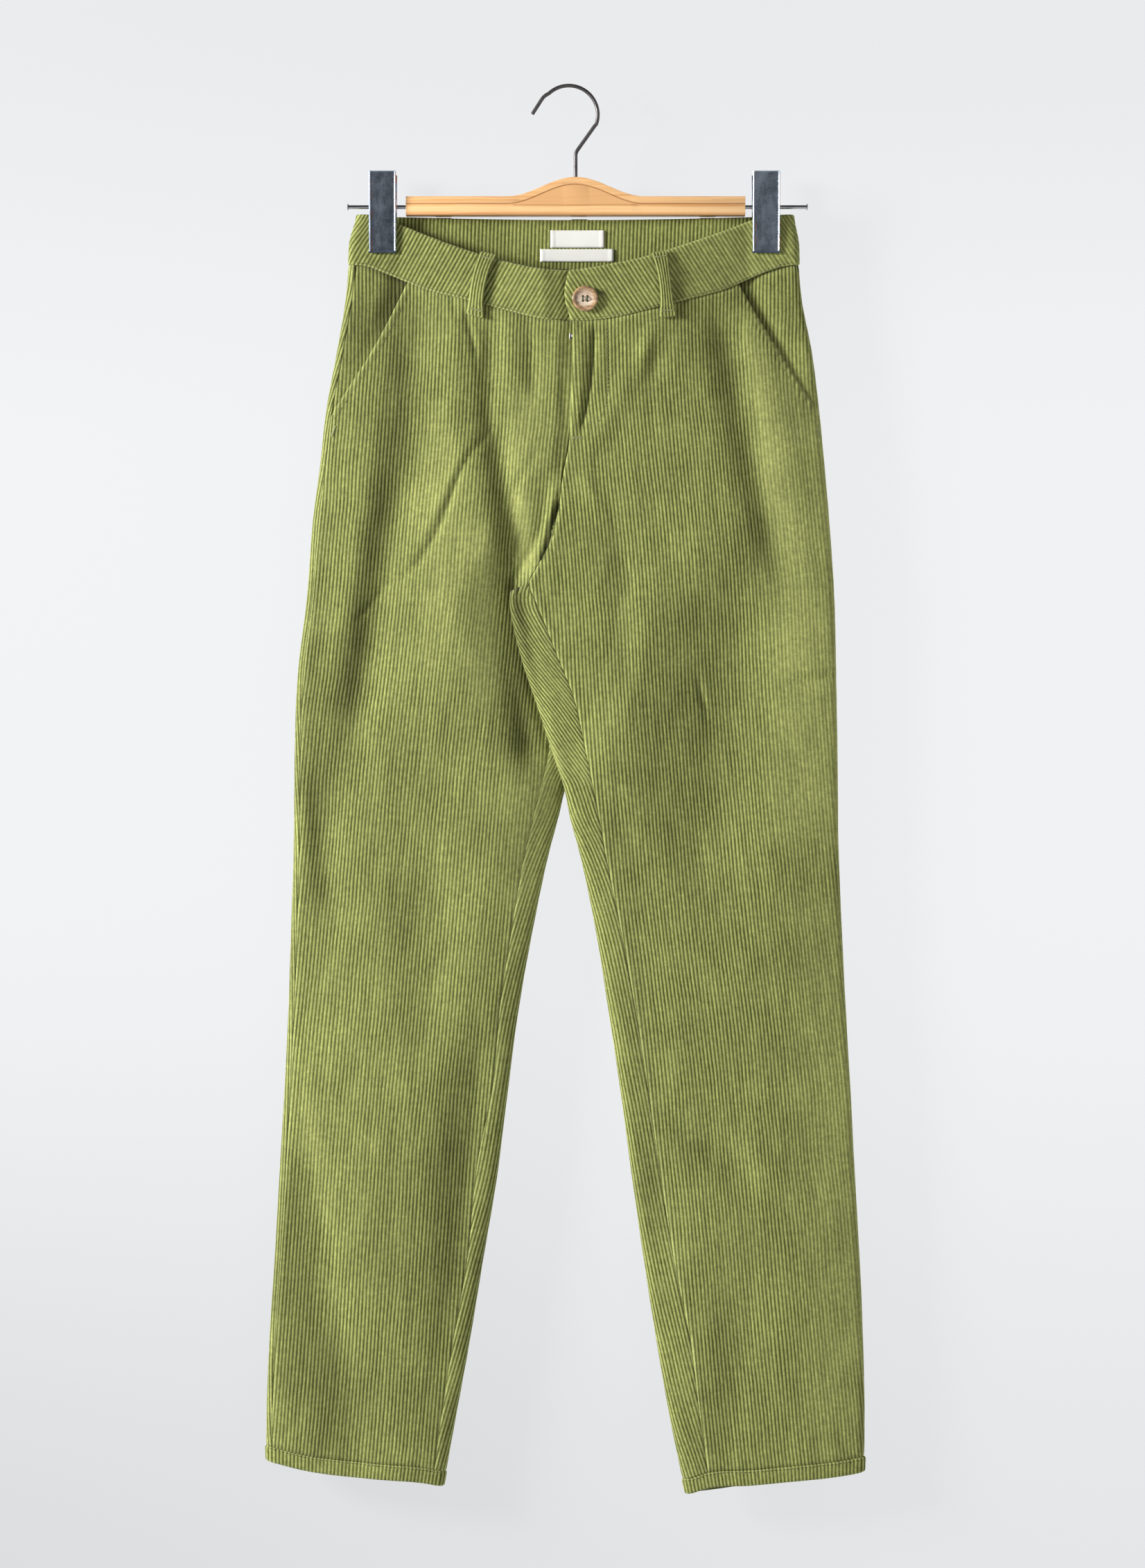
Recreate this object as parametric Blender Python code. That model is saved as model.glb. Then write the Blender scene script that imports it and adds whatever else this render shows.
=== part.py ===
"""Corduroy chinos that hang by the waistband from a wooden clip hanger.

Run with: blender --background --python part.py

The origin is the point where the hook bears on its rail, above the middle of the bar. +Z is up,
the front of the garment faces -Y, and "left" and "right" are as seen from the front (-X and +X).
Tables and sizes are in millimetres; MM turns them into metres when a mesh is made.

The trousers are two flattened tubes, the legs, that open into one loop above the crotch. Each wall
is a depth (y) over the frontal plane (x, z). Cloth pieces are patches of those walls, cut at the
seams. Near the crotch the right leg's inner fold lies over the left leg's, as it hangs.
"""

import bmesh
import bpy
import numpy as np

MM = 0.001

# ---------------------------------------------------------------- sizes, mm
CLOTH = 1.6  # one layer of corduroy
BAND = 2.8  # waistband, two layers
HEM = 3.0  # turned-up hem, two layers
FACING = 1.3  # the hip piece behind a pocket mouth
TAPE = 1.0  # woven label
SEAM = 0.36  # clear gap between two sewn pieces
PROUD = 0.7  # how far the doubled cloth stands out from the panels
EDGE = 4.5  # half the thickness of the garment at a folded edge
FOLD_REACH = 6.0  # distance over which a folded edge rounds off
LEAN = 5.3  # how far the two legs shift apart in depth where they overlap
POCKET_DROP = CLOTH + 1.1  # the pocket facing lies this far behind the front

CROTCH = -390.0  # height where the four panels meet
FORK = -404.0  # height of the fold's tip, and of the seat seam's lowest point
FLY_END = -278.0
HEM_DEPTH = 12.0
WAIST_TOP = -100.0
LEG_END = -1110.0

UNDERLAP = 5.0  # the left front runs this far under the fly
OUTER_SEAM_LEFT = 7.5  # the left side seam runs this far round on the front
OUTER_SEAM_RIGHT = 0.3  # the right one runs along the very edge

BUTTON_AT = (7.4, -165.4)
BUTTON_WIDTH = 19.6
LOOP_WIDTH = 12.5

CLIP_X = (-151.5, 149.6)
CLIP_WIDTH = 21.3
CLIP_TOP, CLIP_BOTTOM = -66.8, -130.5
ROD_Z = -93.4
ROD_RADIUS = 1.6
ROD_ENDS = (-179.5, 182.5)
BAR_ENDS = (-133.3, 133.2)
BAR_BOTTOM, BAR_TOP, HUMP_TOP = -100.5, -85.8, -70.6
HUMP_REACH = 54.0
BAR_DEPTH = 12.0
WIRE = 1.5  # radius of the hook's wire
HOOK_X, HOOK_Z, HOOK_RADIUS = -5.4, -20.8, 22.9
STEM_DEPTH = 12.0  # how deep the stem is set in the bar
ROD_INSERT = 11.0
PLATE = 1.0  # sheet metal of the clips
CLIP_GRIP = EDGE + PROUD + 0.35  # half the clear width between a clip's jaws
CLIP_LEAN = 5.0
EAR_PAST = 2.6
EAR_HALF = 4.6
BUTTON_HOLES = 1.7  # half the spacing of the button's holes
POCKET_UNDER = 12.0
HEM_PROUD = 0.9


class Table:
    """Rows of numbers over a first column, read through smooth curves."""

    def __init__(self, columns, rows):
        data = np.array(sorted(rows), float)
        self.at = data[:, 0]
        self.columns = dict(zip(columns[1:], data[:, 1:].T))

    def __call__(self, column, at):
        x, y = self.at, self.columns[column]
        step = np.diff(x)
        slope = np.diff(y) / step
        inner = (slope[:-1] * step[1:] + slope[1:] * step[:-1]) / (step[1:] + step[:-1])
        tangent = np.concatenate([slope[:1], inner, slope[-1:]])
        at = np.clip(at, x[0], x[-1])
        i = np.clip(np.searchsorted(x, at, side="right") - 1, 0, len(x) - 2)
        t = (at - x[i]) / step[i]
        a, b = y[i], y[i + 1]
        ma, mb = tangent[i] * step[i], tangent[i + 1] * step[i]
        return a + t * (ma + t * (3 * (b - a) - 2 * ma - mb + t * (2 * (a - b) + ma + mb)))


# Outer edges of the garment, from the waist to the hems.
SIDES = Table(
    ("height", "left", "right"),
    [
        (-99, -177.2, 175.0),
        (-165, -180.7, 177.9),
        (-208, -187.8, 186.1),
        (-252, -195.9, 191.6),
        (-296, -200.8, 195.9),
        (-334, -205.9, 199.2),
        (-399, -211.2, 203.6),
        (-465, -218.8, 205.2),
        (-530, -221.0, 206.3),
        (-595, -221.6, 207.0),
        (-661, -223.7, 209.6),
        (-726, -225.9, 212.8),
        (-792, -229.2, 216.6),
        (-857, -233.0, 220.0),
        (-922, -236.8, 223.7),
        (-988, -241.0, 226.4),
        (-1053, -243.2, 227.5),
        (-1111, -242.6, 226.2),
    ],
)
# Inner folds of the legs. Above the fork they are the edges of the two shallow dips beside the
# front and the seat seam.
FOLDS = Table(
    ("height", "left", "right"),
    [
        (-285, 20.0, -18.0),
        (-301, 22.0, -21.0),
        (-333, 27.0, -25.5),
        (-350, 31.0, -28.5),
        (-372, 38.0, -40.0),
        (-390, 43.0, -50.0),
        (-404, 34.6, -51.8),
        (-424, 31.3, -48.8),
        (-452, 24.3, -41.7),
        (-486, 12.8, -30.2),
        (-521, 1.4, -18.8),
        (-549, -7.6, -9.4),
        (-575, -13.9, -4.1),
        (-595, -19.3, 1.4),
        (-661, -33.5, 15.5),
        (-726, -45.0, 25.9),
        (-792, -53.7, 35.7),
        (-857, -61.9, 44.4),
        (-922, -72.8, 53.7),
        (-988, -83.7, 64.0),
        (-1053, -95.6, 75.5),
        (-1111, -106.0, 87.8),
    ],
)
# Inside leg seams. They run on the front, because the back panels fold round to them.
INSEAMS = Table(
    ("height", "left", "right"),
    [
        (-390, -37.3, -37.3),
        (-410, -33.0, -28.6),
        (-442, -26.0, -16.1),
        (-481, -19.0, -0.8),
        (-519, -21.0, 7.5),
        (-563, -31.2, 16.6),
        (-612, -42.2, 25.5),
        (-669, -51.5, 37.1),
        (-723, -59.7, 46.7),
        (-781, -64.6, 56.0),
        (-845, -77.1, 65.3),
        (-922, -85.3, 77.5),
        (-988, -96.7, 90.7),
        (-1050, -106.5, 98.5),
        (-1111, -114.0, 107.5),
    ],
)
# Centre seams: the front one from the waistband to the crotch, the back one down to the fork.
RISES = Table(
    ("height", "front", "back"),
    [
        (-100, -3.0, 3.0),
        (-186, -2.2, 3.2),
        (-250, -3.6, 4.6),
        (-285, -5.7, 7.2),
        (-301, -9.0, 9.6),
        (-333, -13.4, 15.0),
        (-350, -16.6, 19.0),
        (-372, -27.5, 26.5),
        (-390, -37.3, 32.0),
        (-404, -45.0, 34.6),
    ],
)
# How far the walls stand out from the middle plane, halfway across.
DEPTHS = Table(
    ("height", "front", "back"),
    [
        (-100, 20.0, 8.0),
        (-145, 19.5, 8.5),
        (-190, 18.0, 12.0),
        (-250, 16.0, 15.5),
        (-330, 15.0, 16.0),
        (-400, 13.0, 14.0),
        (-560, 12.0, 12.0),
        (-800, 12.0, 12.0),
        (-1000, 11.0, 11.0),
        (-1111, 9.5, 10.0),
    ],
)
# The waistband by distance from the middle: front edge, front seam, back edge and back seam.
WAIST = Table(
    ("x", "front_top", "front_seam", "back_top", "back_seam"),
    [
        (-180, -99.6, -139.0, -99.6, -139.0),
        (-162, -100.4, -141.2, -99.9, -139.3),
        (-147, -104.2, -147.0, -100.6, -139.8),
        (-118, -116.3, -159.0, -101.2, -140.6),
        (-86, -128.6, -167.8, -101.8, -141.4),
        (-55, -138.2, -176.4, -102.2, -142.0),
        (-25, -144.4, -183.6, -102.5, -142.2),
        (0, -145.0, -185.0, -102.5, -142.2),
        (25, -141.0, -183.2, -102.5, -142.2),
        (55, -134.3, -176.4, -102.2, -142.0),
        (86, -124.2, -168.0, -101.8, -141.4),
        (118, -112.6, -158.8, -101.2, -140.6),
        (147, -101.9, -145.8, -100.6, -139.8),
        (162, -100.2, -140.8, -99.9, -139.3),
        (180, -99.6, -138.8, -99.6, -138.8),
    ],
)
# Slanted pocket mouths.
POCKETS = Table(
    ("height", "left", "right"),
    [
        (-140, -125.0, 121.0),
        (-154, -132.7, 128.3),
        (-188, -149.6, 147.6),
        (-214, -164.0, 163.6),
        (-238, -179.6, 178.8),
        (-254, -190.2, 190.8),
        (-262, -196.0, 196.0),
    ],
)
# Lower edges of the hems.
HEMS = Table(
    ("x", "front", "back"),
    [
        (-244, -1078.6, -1078.6),
        (-215, -1085.6, -1085.8),
        (-160, -1092.4, -1093.4),
        (-119, -1096.2, -1098.0),
        (-105, -1098.8, -1098.8),
        (-100, -1099.2, -1099.2),
        (80, -1105.4, -1105.4),
        (88, -1105.0, -1105.0),
        (104, -1099.8, -1103.8),
        (136, -1097.6, -1099.8),
        (160, -1095.4, -1096.6),
        (223, -1088.4, -1089.0),
        (230, -1087.0, -1087.0),
    ],
)
# Broad soft troughs: wall, start (x, z), end (x, z), half width, depth. A ridge has less than 0.
TROUGHS = (
    ("front", (-147, -165), (-156, -330), 13, 4.5),
    ("front", (-158, -345), (-176, -520), 14, 5.0),
    ("front", (-83, -190), (-66, -330), 11, 4.0),
    ("front", (-65, -345), (-50, -420), 12, 3.5),
    ("front", (118, -200), (146, -370), 13, 4.5),
    ("front", (92, -430), (106, -520), 26, 3.5),
    ("front", (4, -312), (38, -415), 8, -2.0),
    ("front", (-84, -775), (-118, -845), 15, 3.5),
    ("front", (-98, -880), (-92, -960), 18, 3.0),
    ("front", (-208, -560), (-204, -640), 11, 2.5),
    ("back", (-128, -170), (-96, -330), 16, 3.5),
    ("back", (126, -170), (98, -340), 16, 3.5),
    ("back", (-60, -300), (-118, -430), 18, 3.5),
    ("back", (70, -330), (122, -450), 18, 3.0),
    ("back", (-120, -760), (-170, -830), 20, 3.0),
    ("back", (130, -700), (176, -800), 20, 3.0),
)


# ---------------------------------------------------------------- the form
def ease(t):
    """0 to 1 with level ends."""
    t = np.clip(t, 0, 1)
    return t * t * (3 - 2 * t)


def swell(t):
    """0 to 1, steep at first and level at the end."""
    return 1 - (1 - np.clip(t, 0, 1)) ** 2


def rounded(distance):
    """A quarter circle from an edge, as cloth turns round a fold."""
    return np.sqrt(1 - (1 - np.clip(distance / FOLD_REACH, 0, 1)) ** 2)


def name_of(side):
    return "left" if side < 0 else "right"


def relief(wall, x, z):
    """Depth of the troughs at a point of a wall."""
    total = np.zeros(np.broadcast(x, z).shape)
    for where, (xa, za), (xb, zb), width, depth in TROUGHS:
        if where != wall:
            continue
        run = np.hypot(xb - xa, zb - za)
        along = ((x - xa) * (xb - xa) + (z - za) * (zb - za)) / run
        across = ((x - xa) * (zb - za) - (z - za) * (xb - xa)) / run
        fade = ease((along + 2 * width) / (3 * width)) * ease((run + 2 * width - along) / (3 * width))
        total = total + depth * fade * np.exp(-((across / width) ** 2))
    return total


def wall_depth(side, wall, x, z):
    """Depth (y) of one side's front or back wall before it is joined to the other side's."""
    out = side * SIDES(name_of(side), z)
    fold = side * FOLDS(name_of(side), z)
    other = side * FOLDS(name_of(-side), z)
    reach = side * x
    start = np.maximum(fold, other)
    facing = -1 if wall == "front" else 1
    full = DEPTHS(wall, z) - EDGE
    flat = 41 * ease((z + 260) / 110)
    across = swell((out - reach - flat) / (80 + 60 * ease((z + 260) / 110)))
    leg = EDGE * rounded(out - reach) * rounded(reach - fold)
    leg = leg + full * across * swell((reach - start) / 60)
    apart = LEAN * (1 - ease((reach - start) / 45)) * ease((z + 660) / 95)
    leg = -side * apart + facing * leg
    body = facing * (EDGE * rounded(out - reach) + full * across)
    share = ease((z - CROTCH) / 105)
    calm = ease((reach - start - 4) / 24 + 2 * share) * ease((out - reach) / 18)
    return leg + share * (body - leg) - facing * relief(wall, x, z) * calm


def depth(side, wall, x, z):
    """Depth (y) of a wall, brought to the other side's depth along the centre seam."""
    own = wall_depth(side, wall, x, z)
    if wall == "front" and side < 0:
        seam = np.where(z > CROTCH, RISES("front", z), INSEAMS("left", z))
        near = 1 - ease((seam - x) / 14)
        held = ease((z - CROTCH + 11) / 11)
        step = 2.4 * ease((z - FLY_END + 38) / 14) + 0.3
        under = step + 1.9 * (1 - ease((z - CROTCH) / 6))
        target = wall_depth(1, "front", seam, z) + under
        return own + near * held * (target - own)
    if wall == "back" and side > 0:
        seam = RISES("back", z)
        near = (1 - ease((x - seam) / 16)) * (x > seam - 0.4)
        held = ease((z - FORK + 12) / 12)
        return own + near * held * (wall_depth(-1, "back", seam, z) - own)
    return own


LEVEL = 2.0  # height between two of the sections below
HEIGHTS = np.arange(LEG_END, WAIST_TOP + LEVEL + 1, LEVEL)
TURN = np.linspace(0, np.pi / 2, 10)


def rail(side, wall, z):
    """One wall's section at a height: arc length from the outer edge, x and y."""
    out = side * float(SIDES(name_of(side), z))
    closed = z <= CROTCH
    end = side * float(FOLDS(name_of(side), z))
    if not closed:
        end = side * float(RISES(wall, z)) - 30
    first = out - FOLD_REACH * (1 - np.cos(TURN))
    last = end + FOLD_REACH * (1 - np.cos(TURN[::-1])) if closed else np.array([end])
    reach = np.concatenate([first, np.linspace(first[-1], last[0], 140)[1:-1], last])
    x = side * reach
    height = np.full_like(x, z)
    plain = wall_depth(side, wall, x, height)
    length = np.concatenate([[0], np.cumsum(np.hypot(np.diff(x), np.diff(plain)))])
    return length, x, depth(side, wall, x, height)


RAILS = {
    (side, wall): [rail(side, wall, z) for z in HEIGHTS]
    for side in (-1, 1)
    for wall in ("front", "back")
}


def between_levels(z, read):
    """A value read from the sections below and above a height, blended."""
    spot = (z - LEG_END) / LEVEL
    lower = min(int(spot + 1e-9), len(HEIGHTS) - 2)
    part = spot - lower
    if part < 1e-6:
        return float(read(lower))
    return float((1 - part) * read(lower) + part * read(lower + 1))


def along_rail(side, wall, x, z):
    """Arc length from the outer edge to the point of a wall at that x."""

    def read(level):
        lengths, xs, _ = RAILS[side, wall][level]
        return np.interp(side * x, side * xs[::-1], lengths[::-1])

    return between_levels(z, read)


def rail_end(side, wall, z):
    return between_levels(z, lambda level: RAILS[side, wall][level][0][-1])


def on_level(side, wall, arc, level):
    """x and y at arc lengths along a section. Past either fold it goes on along the other wall."""
    lengths, xs, ys = RAILS[side, wall][level]
    x, y = np.interp(arc, lengths, xs), np.interp(arc, lengths, ys)
    other, other_xs, other_ys = RAILS[side, "front" if wall == "back" else "back"][level]
    past = (arc > lengths[-1]) & (HEIGHTS[level] <= CROTCH)
    rest = np.where(past, other[-1] - (arc - lengths[-1]), -arc)
    beyond = past | (arc < 0)
    x = np.where(beyond, np.interp(rest, other, other_xs), x)
    y = np.where(beyond, np.interp(rest, other, other_ys), y)
    return x, y


def place(side, wall, arc, z):
    """Points of the cloth at arc lengths from the outer edge and heights."""
    arc, z = np.broadcast_arrays(np.asarray(arc, float), np.asarray(z, float))
    spot = np.clip((z - LEG_END) / LEVEL, 0, len(HEIGHTS) - 1)
    lower = np.minimum(np.floor(spot + 1e-9).astype(int), len(HEIGHTS) - 2)
    part = spot - lower
    out = np.empty(arc.shape + (3,))
    out[..., 2] = z
    for level in np.unique(lower):
        here = lower == level
        xa, ya = on_level(side, wall, arc[here], level)
        xb, yb = on_level(side, wall, arc[here], level + 1)
        if part[here].max() < 1e-6:
            xb, yb = xa, ya
        out[here, 0] = xa + part[here] * (xb - xa)
        out[here, 1] = ya + part[here] * (yb - ya)
    return out


def outward(side, wall, arc, z):
    """Unit normals of the cloth, pointing away from the hollow."""
    step = 0.8
    across = place(side, wall, arc + step, z) - place(side, wall, arc - step, z)
    up = place(side, wall, arc, z + step) - place(side, wall, arc, z - step)
    normal = np.cross(across, up) * (side if wall == "back" else -side)
    return normal / np.linalg.norm(normal, axis=-1, keepdims=True)


# ---------------------------------------------------------------- materials and meshes
def material(name, colour, roughness, metallic=0.0):
    made = bpy.data.materials.new(name)
    made.use_nodes = True
    shader = made.node_tree.nodes["Principled BSDF"]
    shader.inputs["Base Color"].default_value = (*colour, 1)
    shader.inputs["Roughness"].default_value = roughness
    shader.inputs["Metallic"].default_value = metallic
    made.diffuse_color = (*colour, 1)
    return made


def new_object(name, mesh, finish):
    made = bpy.data.objects.new(name, mesh)
    bpy.context.scene.collection.objects.link(made)
    mesh.materials.append(finish)
    return made


def solid_mesh(name, points, faces, finish):
    """A closed mesh in metres from points in millimetres, its faces turned outwards."""
    mesh = bpy.data.meshes.new(name)
    mesh.from_pydata((np.asarray(points) * MM).tolist(), [], [list(map(int, f)) for f in faces])
    form = bmesh.new()
    form.from_mesh(mesh)
    bmesh.ops.remove_doubles(form, verts=form.verts, dist=1e-6)
    bmesh.ops.recalc_face_normals(form, faces=form.faces)
    form.to_mesh(mesh)
    form.free()
    mesh.shade_smooth()
    mesh.set_sharp_from_angle(angle=np.radians(40))
    return new_object(name, mesh, finish)


def sheet_solid(name, points, normals, proud, thickness, finish, loop=False):
    """Cloth through a grid of points: its outer face stands proud of them along the normals."""
    rows, columns = points.shape[:2]
    proud = np.broadcast_to(proud, (rows, columns))[..., None]
    outer = (points + normals * proud).reshape(-1, 3)
    inner = (points + normals * (proud - thickness)).reshape(-1, 3)
    keys = np.round(points.reshape(-1, 3), 3)
    _, first, same = np.unique(keys, axis=0, return_index=True, return_inverse=True)
    same = first[same.reshape(-1)]
    faces = []
    for i in range(rows - 1):
        for j in range(columns if loop else columns - 1):
            k = (j + 1) % columns
            corners = [i * columns + j, i * columns + k, (i + 1) * columns + k, (i + 1) * columns + j]
            ring = []
            for corner in same[corners]:
                if corner not in ring:
                    ring.append(int(corner))
            if len(ring) > 2:
                faces.append(ring)
    edges = {}
    for ring in faces:
        for a, b in zip(ring, ring[1:] + ring[:1]):
            edges[a, b] = edges.get((a, b), 0) + 1
    rim = [(a, b) for a, b in edges if (b, a) not in edges]
    count = len(outer)
    everything = list(faces)
    everything += [[v + count for v in reversed(ring)] for ring in faces]
    everything += [[b, a, a + count, b + count] for a, b in rim]
    used = sorted({v for ring in everything for v in ring})
    index = {v: i for i, v in enumerate(used)}
    both = np.concatenate([outer, inner])[used]
    # Four-cornered faces on curved cloth aren't flat, so they are cut along the shorter diagonal.
    triangles = []
    for ring in everything:
        ring = [index[v] for v in ring]
        if len(ring) == 3:
            triangles.append(ring)
            continue
        a, b, c, d = ring
        if np.linalg.norm(both[a] - both[c]) <= np.linalg.norm(both[b] - both[d]):
            triangles += [[a, b, c], [a, c, d]]
        else:
            triangles += [[a, b, d], [b, c, d]]
    return solid_mesh(name, both, triangles, finish)


# ---------------------------------------------------------------- panels
def front_row_height(level, x):
    """Height of a row of the front: bent to the waistband at the top and to the hem below."""
    top = WAIST("front_seam", x) - SEAM - 0.4
    low = HEMS("front", x) + HEM_DEPTH + SEAM
    return bent(level, top, low, FRONT_ROWS)


def back_row_height(level, x, on_front):
    """The same for a back. Its ends lie on the front wall."""
    top = np.where(on_front, WAIST("front_seam", x), WAIST("back_seam", x)) - SEAM - 0.4
    low = np.where(on_front, HEMS("front", x), HEMS("back", x)) + HEM_DEPTH + SEAM
    return bent(level, top, low, BACK_ROWS)


def bent(level, top, low, rows):
    level = level + (top - rows[0]) * ease(1 - (rows[0] - level) / 190)
    return level + (low - rows[-1]) * ease(1 - (level - rows[-1]) / 190)


LEG_ROWS = np.concatenate([[-396, -402, -408], np.linspace(-424, -1087, 19)])
FRONT_ROWS = np.concatenate([np.linspace(-186, CROTCH, 10), LEG_ROWS])
SEAT_ROWS = 9  # rows of the back above the fork
BACK_ROWS = np.concatenate([np.linspace(-142, FORK, SEAT_ROWS), LEG_ROWS[2:]])


FRONT_COLUMNS = 9


def front_columns(side, start, end, z):
    """Columns of a front: close together at its outer end, and one where the other leg laps it."""
    lap = along_rail(side, "front", float(FOLDS(name_of(-side), z)), z)
    lap = float(np.clip(lap, start + 12, end - 8))
    return np.concatenate([[start, start + 2.5, start + 7], np.linspace(start + 7, lap, 6)[1:], [end]])


def make_front(side, finish):
    """A front: from the side seam and the pocket mouth to the centre seam and the inside leg."""
    name = name_of(side)
    seam = OUTER_SEAM_LEFT if side < 0 else OUTER_SEAM_RIGHT
    arcs, heights = [], []
    for level in FRONT_ROWS:
        spread = np.zeros(FRONT_COLUMNS)
        height = np.full(FRONT_COLUMNS, level)
        for _ in range(4):
            for j, z in enumerate(height):
                inner = RISES("front", z) if z >= CROTCH else INSEAMS(name, z)
                end = along_rail(side, "front", float(inner), z) - SEAM / 2
                if side < 0 and z > CROTCH:
                    end += UNDERLAP if z > FLY_END else -0.3
                start = seam + SEAM / 2
                if z > POCKETS.at[0]:
                    start = max(start, along_rail(side, "front", float(POCKETS(name, z)), z))
                spread[j] = front_columns(side, start, end, z)[j]
            x = place(side, "front", spread, height)[..., 0]
            height = front_row_height(level, x)
        arcs.append(spread)
        heights.append(height)
    arcs, heights = np.array(arcs), np.array(heights)
    points = place(side, "front", arcs, heights)
    normals = outward(side, "front", arcs, heights)
    return sheet_solid(f"front_{name}", points, normals, 0, CLOTH, finish)


def inseam_arc(side, z):
    """Arc length from the outer edge, round the back and the inner fold, to the inside leg seam."""
    z = min(z, CROTCH)
    around = rail_end(side, "back", z) + rail_end(side, "front", z)
    return around - along_rail(side, "front", float(INSEAMS(name_of(side), z)), z) - SEAM / 2


def back_ends(side):
    """Where each row of a back starts, at the side seam, and ends: its height and arc length."""
    rows = []
    for z in BACK_ROWS[:SEAT_ROWS]:
        rows.append((z, z, along_rail(side, "back", float(RISES("back", z)), z) - SEAM / 2))
    lowest = rows[-1][2]
    crotch = inseam_arc(side, CROTCH)
    if side > 0:
        tip = rail_end(side, "back", FORK)
        for t in (0.02, 0.32, 0.66, 1.0):
            rows.append((FORK - 2 - 9 * t, FORK, lowest + (tip - lowest) * t))
        rows.append((FORK - 22, (FORK + CROTCH) / 2, (tip + crotch) / 2 - 3.5))
        rows.append((FORK - 33, CROTCH, crotch))
    else:
        for t in (0.3, 0.6, 0.85):
            height = FORK + (CROTCH - FORK) * t**3
            rows.append((FORK - 9 * (1 + 2 * t), height, lowest + (crotch - lowest) * t))
        rows.append((FORK - 33, CROTCH, crotch))
    for z in LEG_ROWS:
        share = (z - CROTCH) / (LEG_ROWS[-1] - CROTCH)
        start = z - (33 + CROTCH - FORK) * (1 - share) ** 2
        rows.append((start, z, None))
    return rows


def make_back(side, finish):
    """A back: from the side seam round the seat and the inner fold to the inside leg seam."""
    name = name_of(side)
    seam = -OUTER_SEAM_LEFT if side < 0 else -OUTER_SEAM_RIGHT
    arcs, heights = [], []
    for start, stop, end in back_ends(side):
        height = np.array([start, stop])
        for _ in range(4):
            last = inseam_arc(side, height[-1]) if end is None else end
            middle = min(height.mean(), FORK)
            turn = rail_end(side, "back", middle)
            lap = along_rail(side, "back", float(FOLDS(name_of(-side), middle)), middle)
            lap = min(lap if side > 0 else turn, turn - 16)
            row = np.concatenate([
                [seam + SEAM / 2, 1.5, 5.0, 10.0] if side > 0 else [seam + SEAM / 2, -4, 0, 4, 10],
                np.linspace(10.0, lap, 5)[1:],
                [lap + 2.5, lap + 2.5 + (turn - lap - 12.5) / 2],
                turn + np.array([-10, -5, -1.8, 1.8, 5.0, 8.5]),
                np.linspace(turn + 8.5, max(last, turn + 9), 3)[1:],
            ])
            row = np.where(row > last - 2.5, last, row)
            share = ((row - row[0]) / (last - row[0])) ** 3
            level = start + (stop - start) * share
            height = level if len(height) == 2 else height
            on_front = (row < 0) | (row > turn)
            height = back_row_height(level, place(side, "back", row, height)[..., 0], on_front)
        arcs.append(row)
        heights.append(height)
    arcs, heights = np.array(arcs), np.array(heights)
    points = place(side, "back", arcs, heights)
    normals = outward(side, "back", arcs, heights)
    return sheet_solid(f"back_{name}", points, normals, 0, CLOTH, finish)


def make_pocket_facing(side, finish):
    """The hip piece that shows in the pocket mouth. It runs a little way under the front."""
    name = name_of(side)
    seam = OUTER_SEAM_LEFT if side < 0 else OUTER_SEAM_RIGHT
    levels = np.linspace(FRONT_ROWS[0], -268, 8)
    arcs, heights = [], []
    for level in levels:
        spread = np.zeros(6)
        height = np.full(6, level)
        for _ in range(4):
            for j, z in enumerate(height):
                start = seam + SEAM / 2
                end = along_rail(side, "front", float(POCKETS(name, z)), z)
                width = max(end, start) + POCKET_UNDER - start
                spread[j] = start + (0.0, 2.5, 7.0, 7 + (width - 7) / 3, 7 + (width - 7) / 1.5, width)[j]
            x = place(side, "front", spread, height)[..., 0]
            top = WAIST("front_seam", x) - SEAM - 0.4
            height = level + (top - levels[0]) * (level - levels[-1]) / (levels[0] - levels[-1])
        arcs.append(spread)
        heights.append(height)
    arcs, heights = np.array(arcs), np.array(heights)
    points = place(side, "front", arcs, heights)
    normals = outward(side, "front", arcs, heights)
    sheet_solid(f"pocket_facing_{name}", points, normals, -POCKET_DROP, FACING, finish)


# ---------------------------------------------------------------- waistband, loops and trim
def band_grid(side, wall, arcs, rows=4):
    """Points and normals of the waistband from its upper edge to its seam."""
    share = np.linspace(0, 1, rows)[:, None]
    arcs = np.broadcast_to(arcs, (rows, len(arcs)))
    height = np.full(arcs.shape, -120.0)
    for _ in range(4):
        x = place(side, wall, arcs, height)[..., 0]
        top, low = WAIST(f"{wall}_top", x), WAIST(f"{wall}_seam", x)
        height = top + (low - top) * share
    return place(side, wall, arcs, height), outward(side, wall, arcs, height)


def band_arcs(side, wall, last):
    """Columns of the band: close together round the side fold, then even to the given x."""
    end = along_rail(side, wall, last, -140)
    return np.concatenate([[SEAM / 2, 1.8, 3.6, 6.0, 9.0], np.linspace(9, end, 13)[1:]])


def make_waistband_fronts(finish):
    points, normals = band_grid(-1, "front", band_arcs(-1, "front", 21.0))
    under = ease((points[..., 0] + 26) / 12)
    sheet_solid("waistband_front_left", points, normals, PROUD - 2.2 * under, BAND, finish)

    share = np.linspace(0, 1, 5)
    base = band_arcs(1, "front", -4.6)
    points, normals = band_grid(1, "front", base, 5)
    bulge = 4.0 * np.sin(np.pi * np.clip(share * 1.15, 0, 1))[:, None]
    reach = ease((base - base[-4]) / (base[-1] - base[-4]))[None, :] * bulge
    points[..., 0] -= reach
    sheet_solid("waistband_front_right", points, normals, PROUD, BAND, finish)


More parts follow.
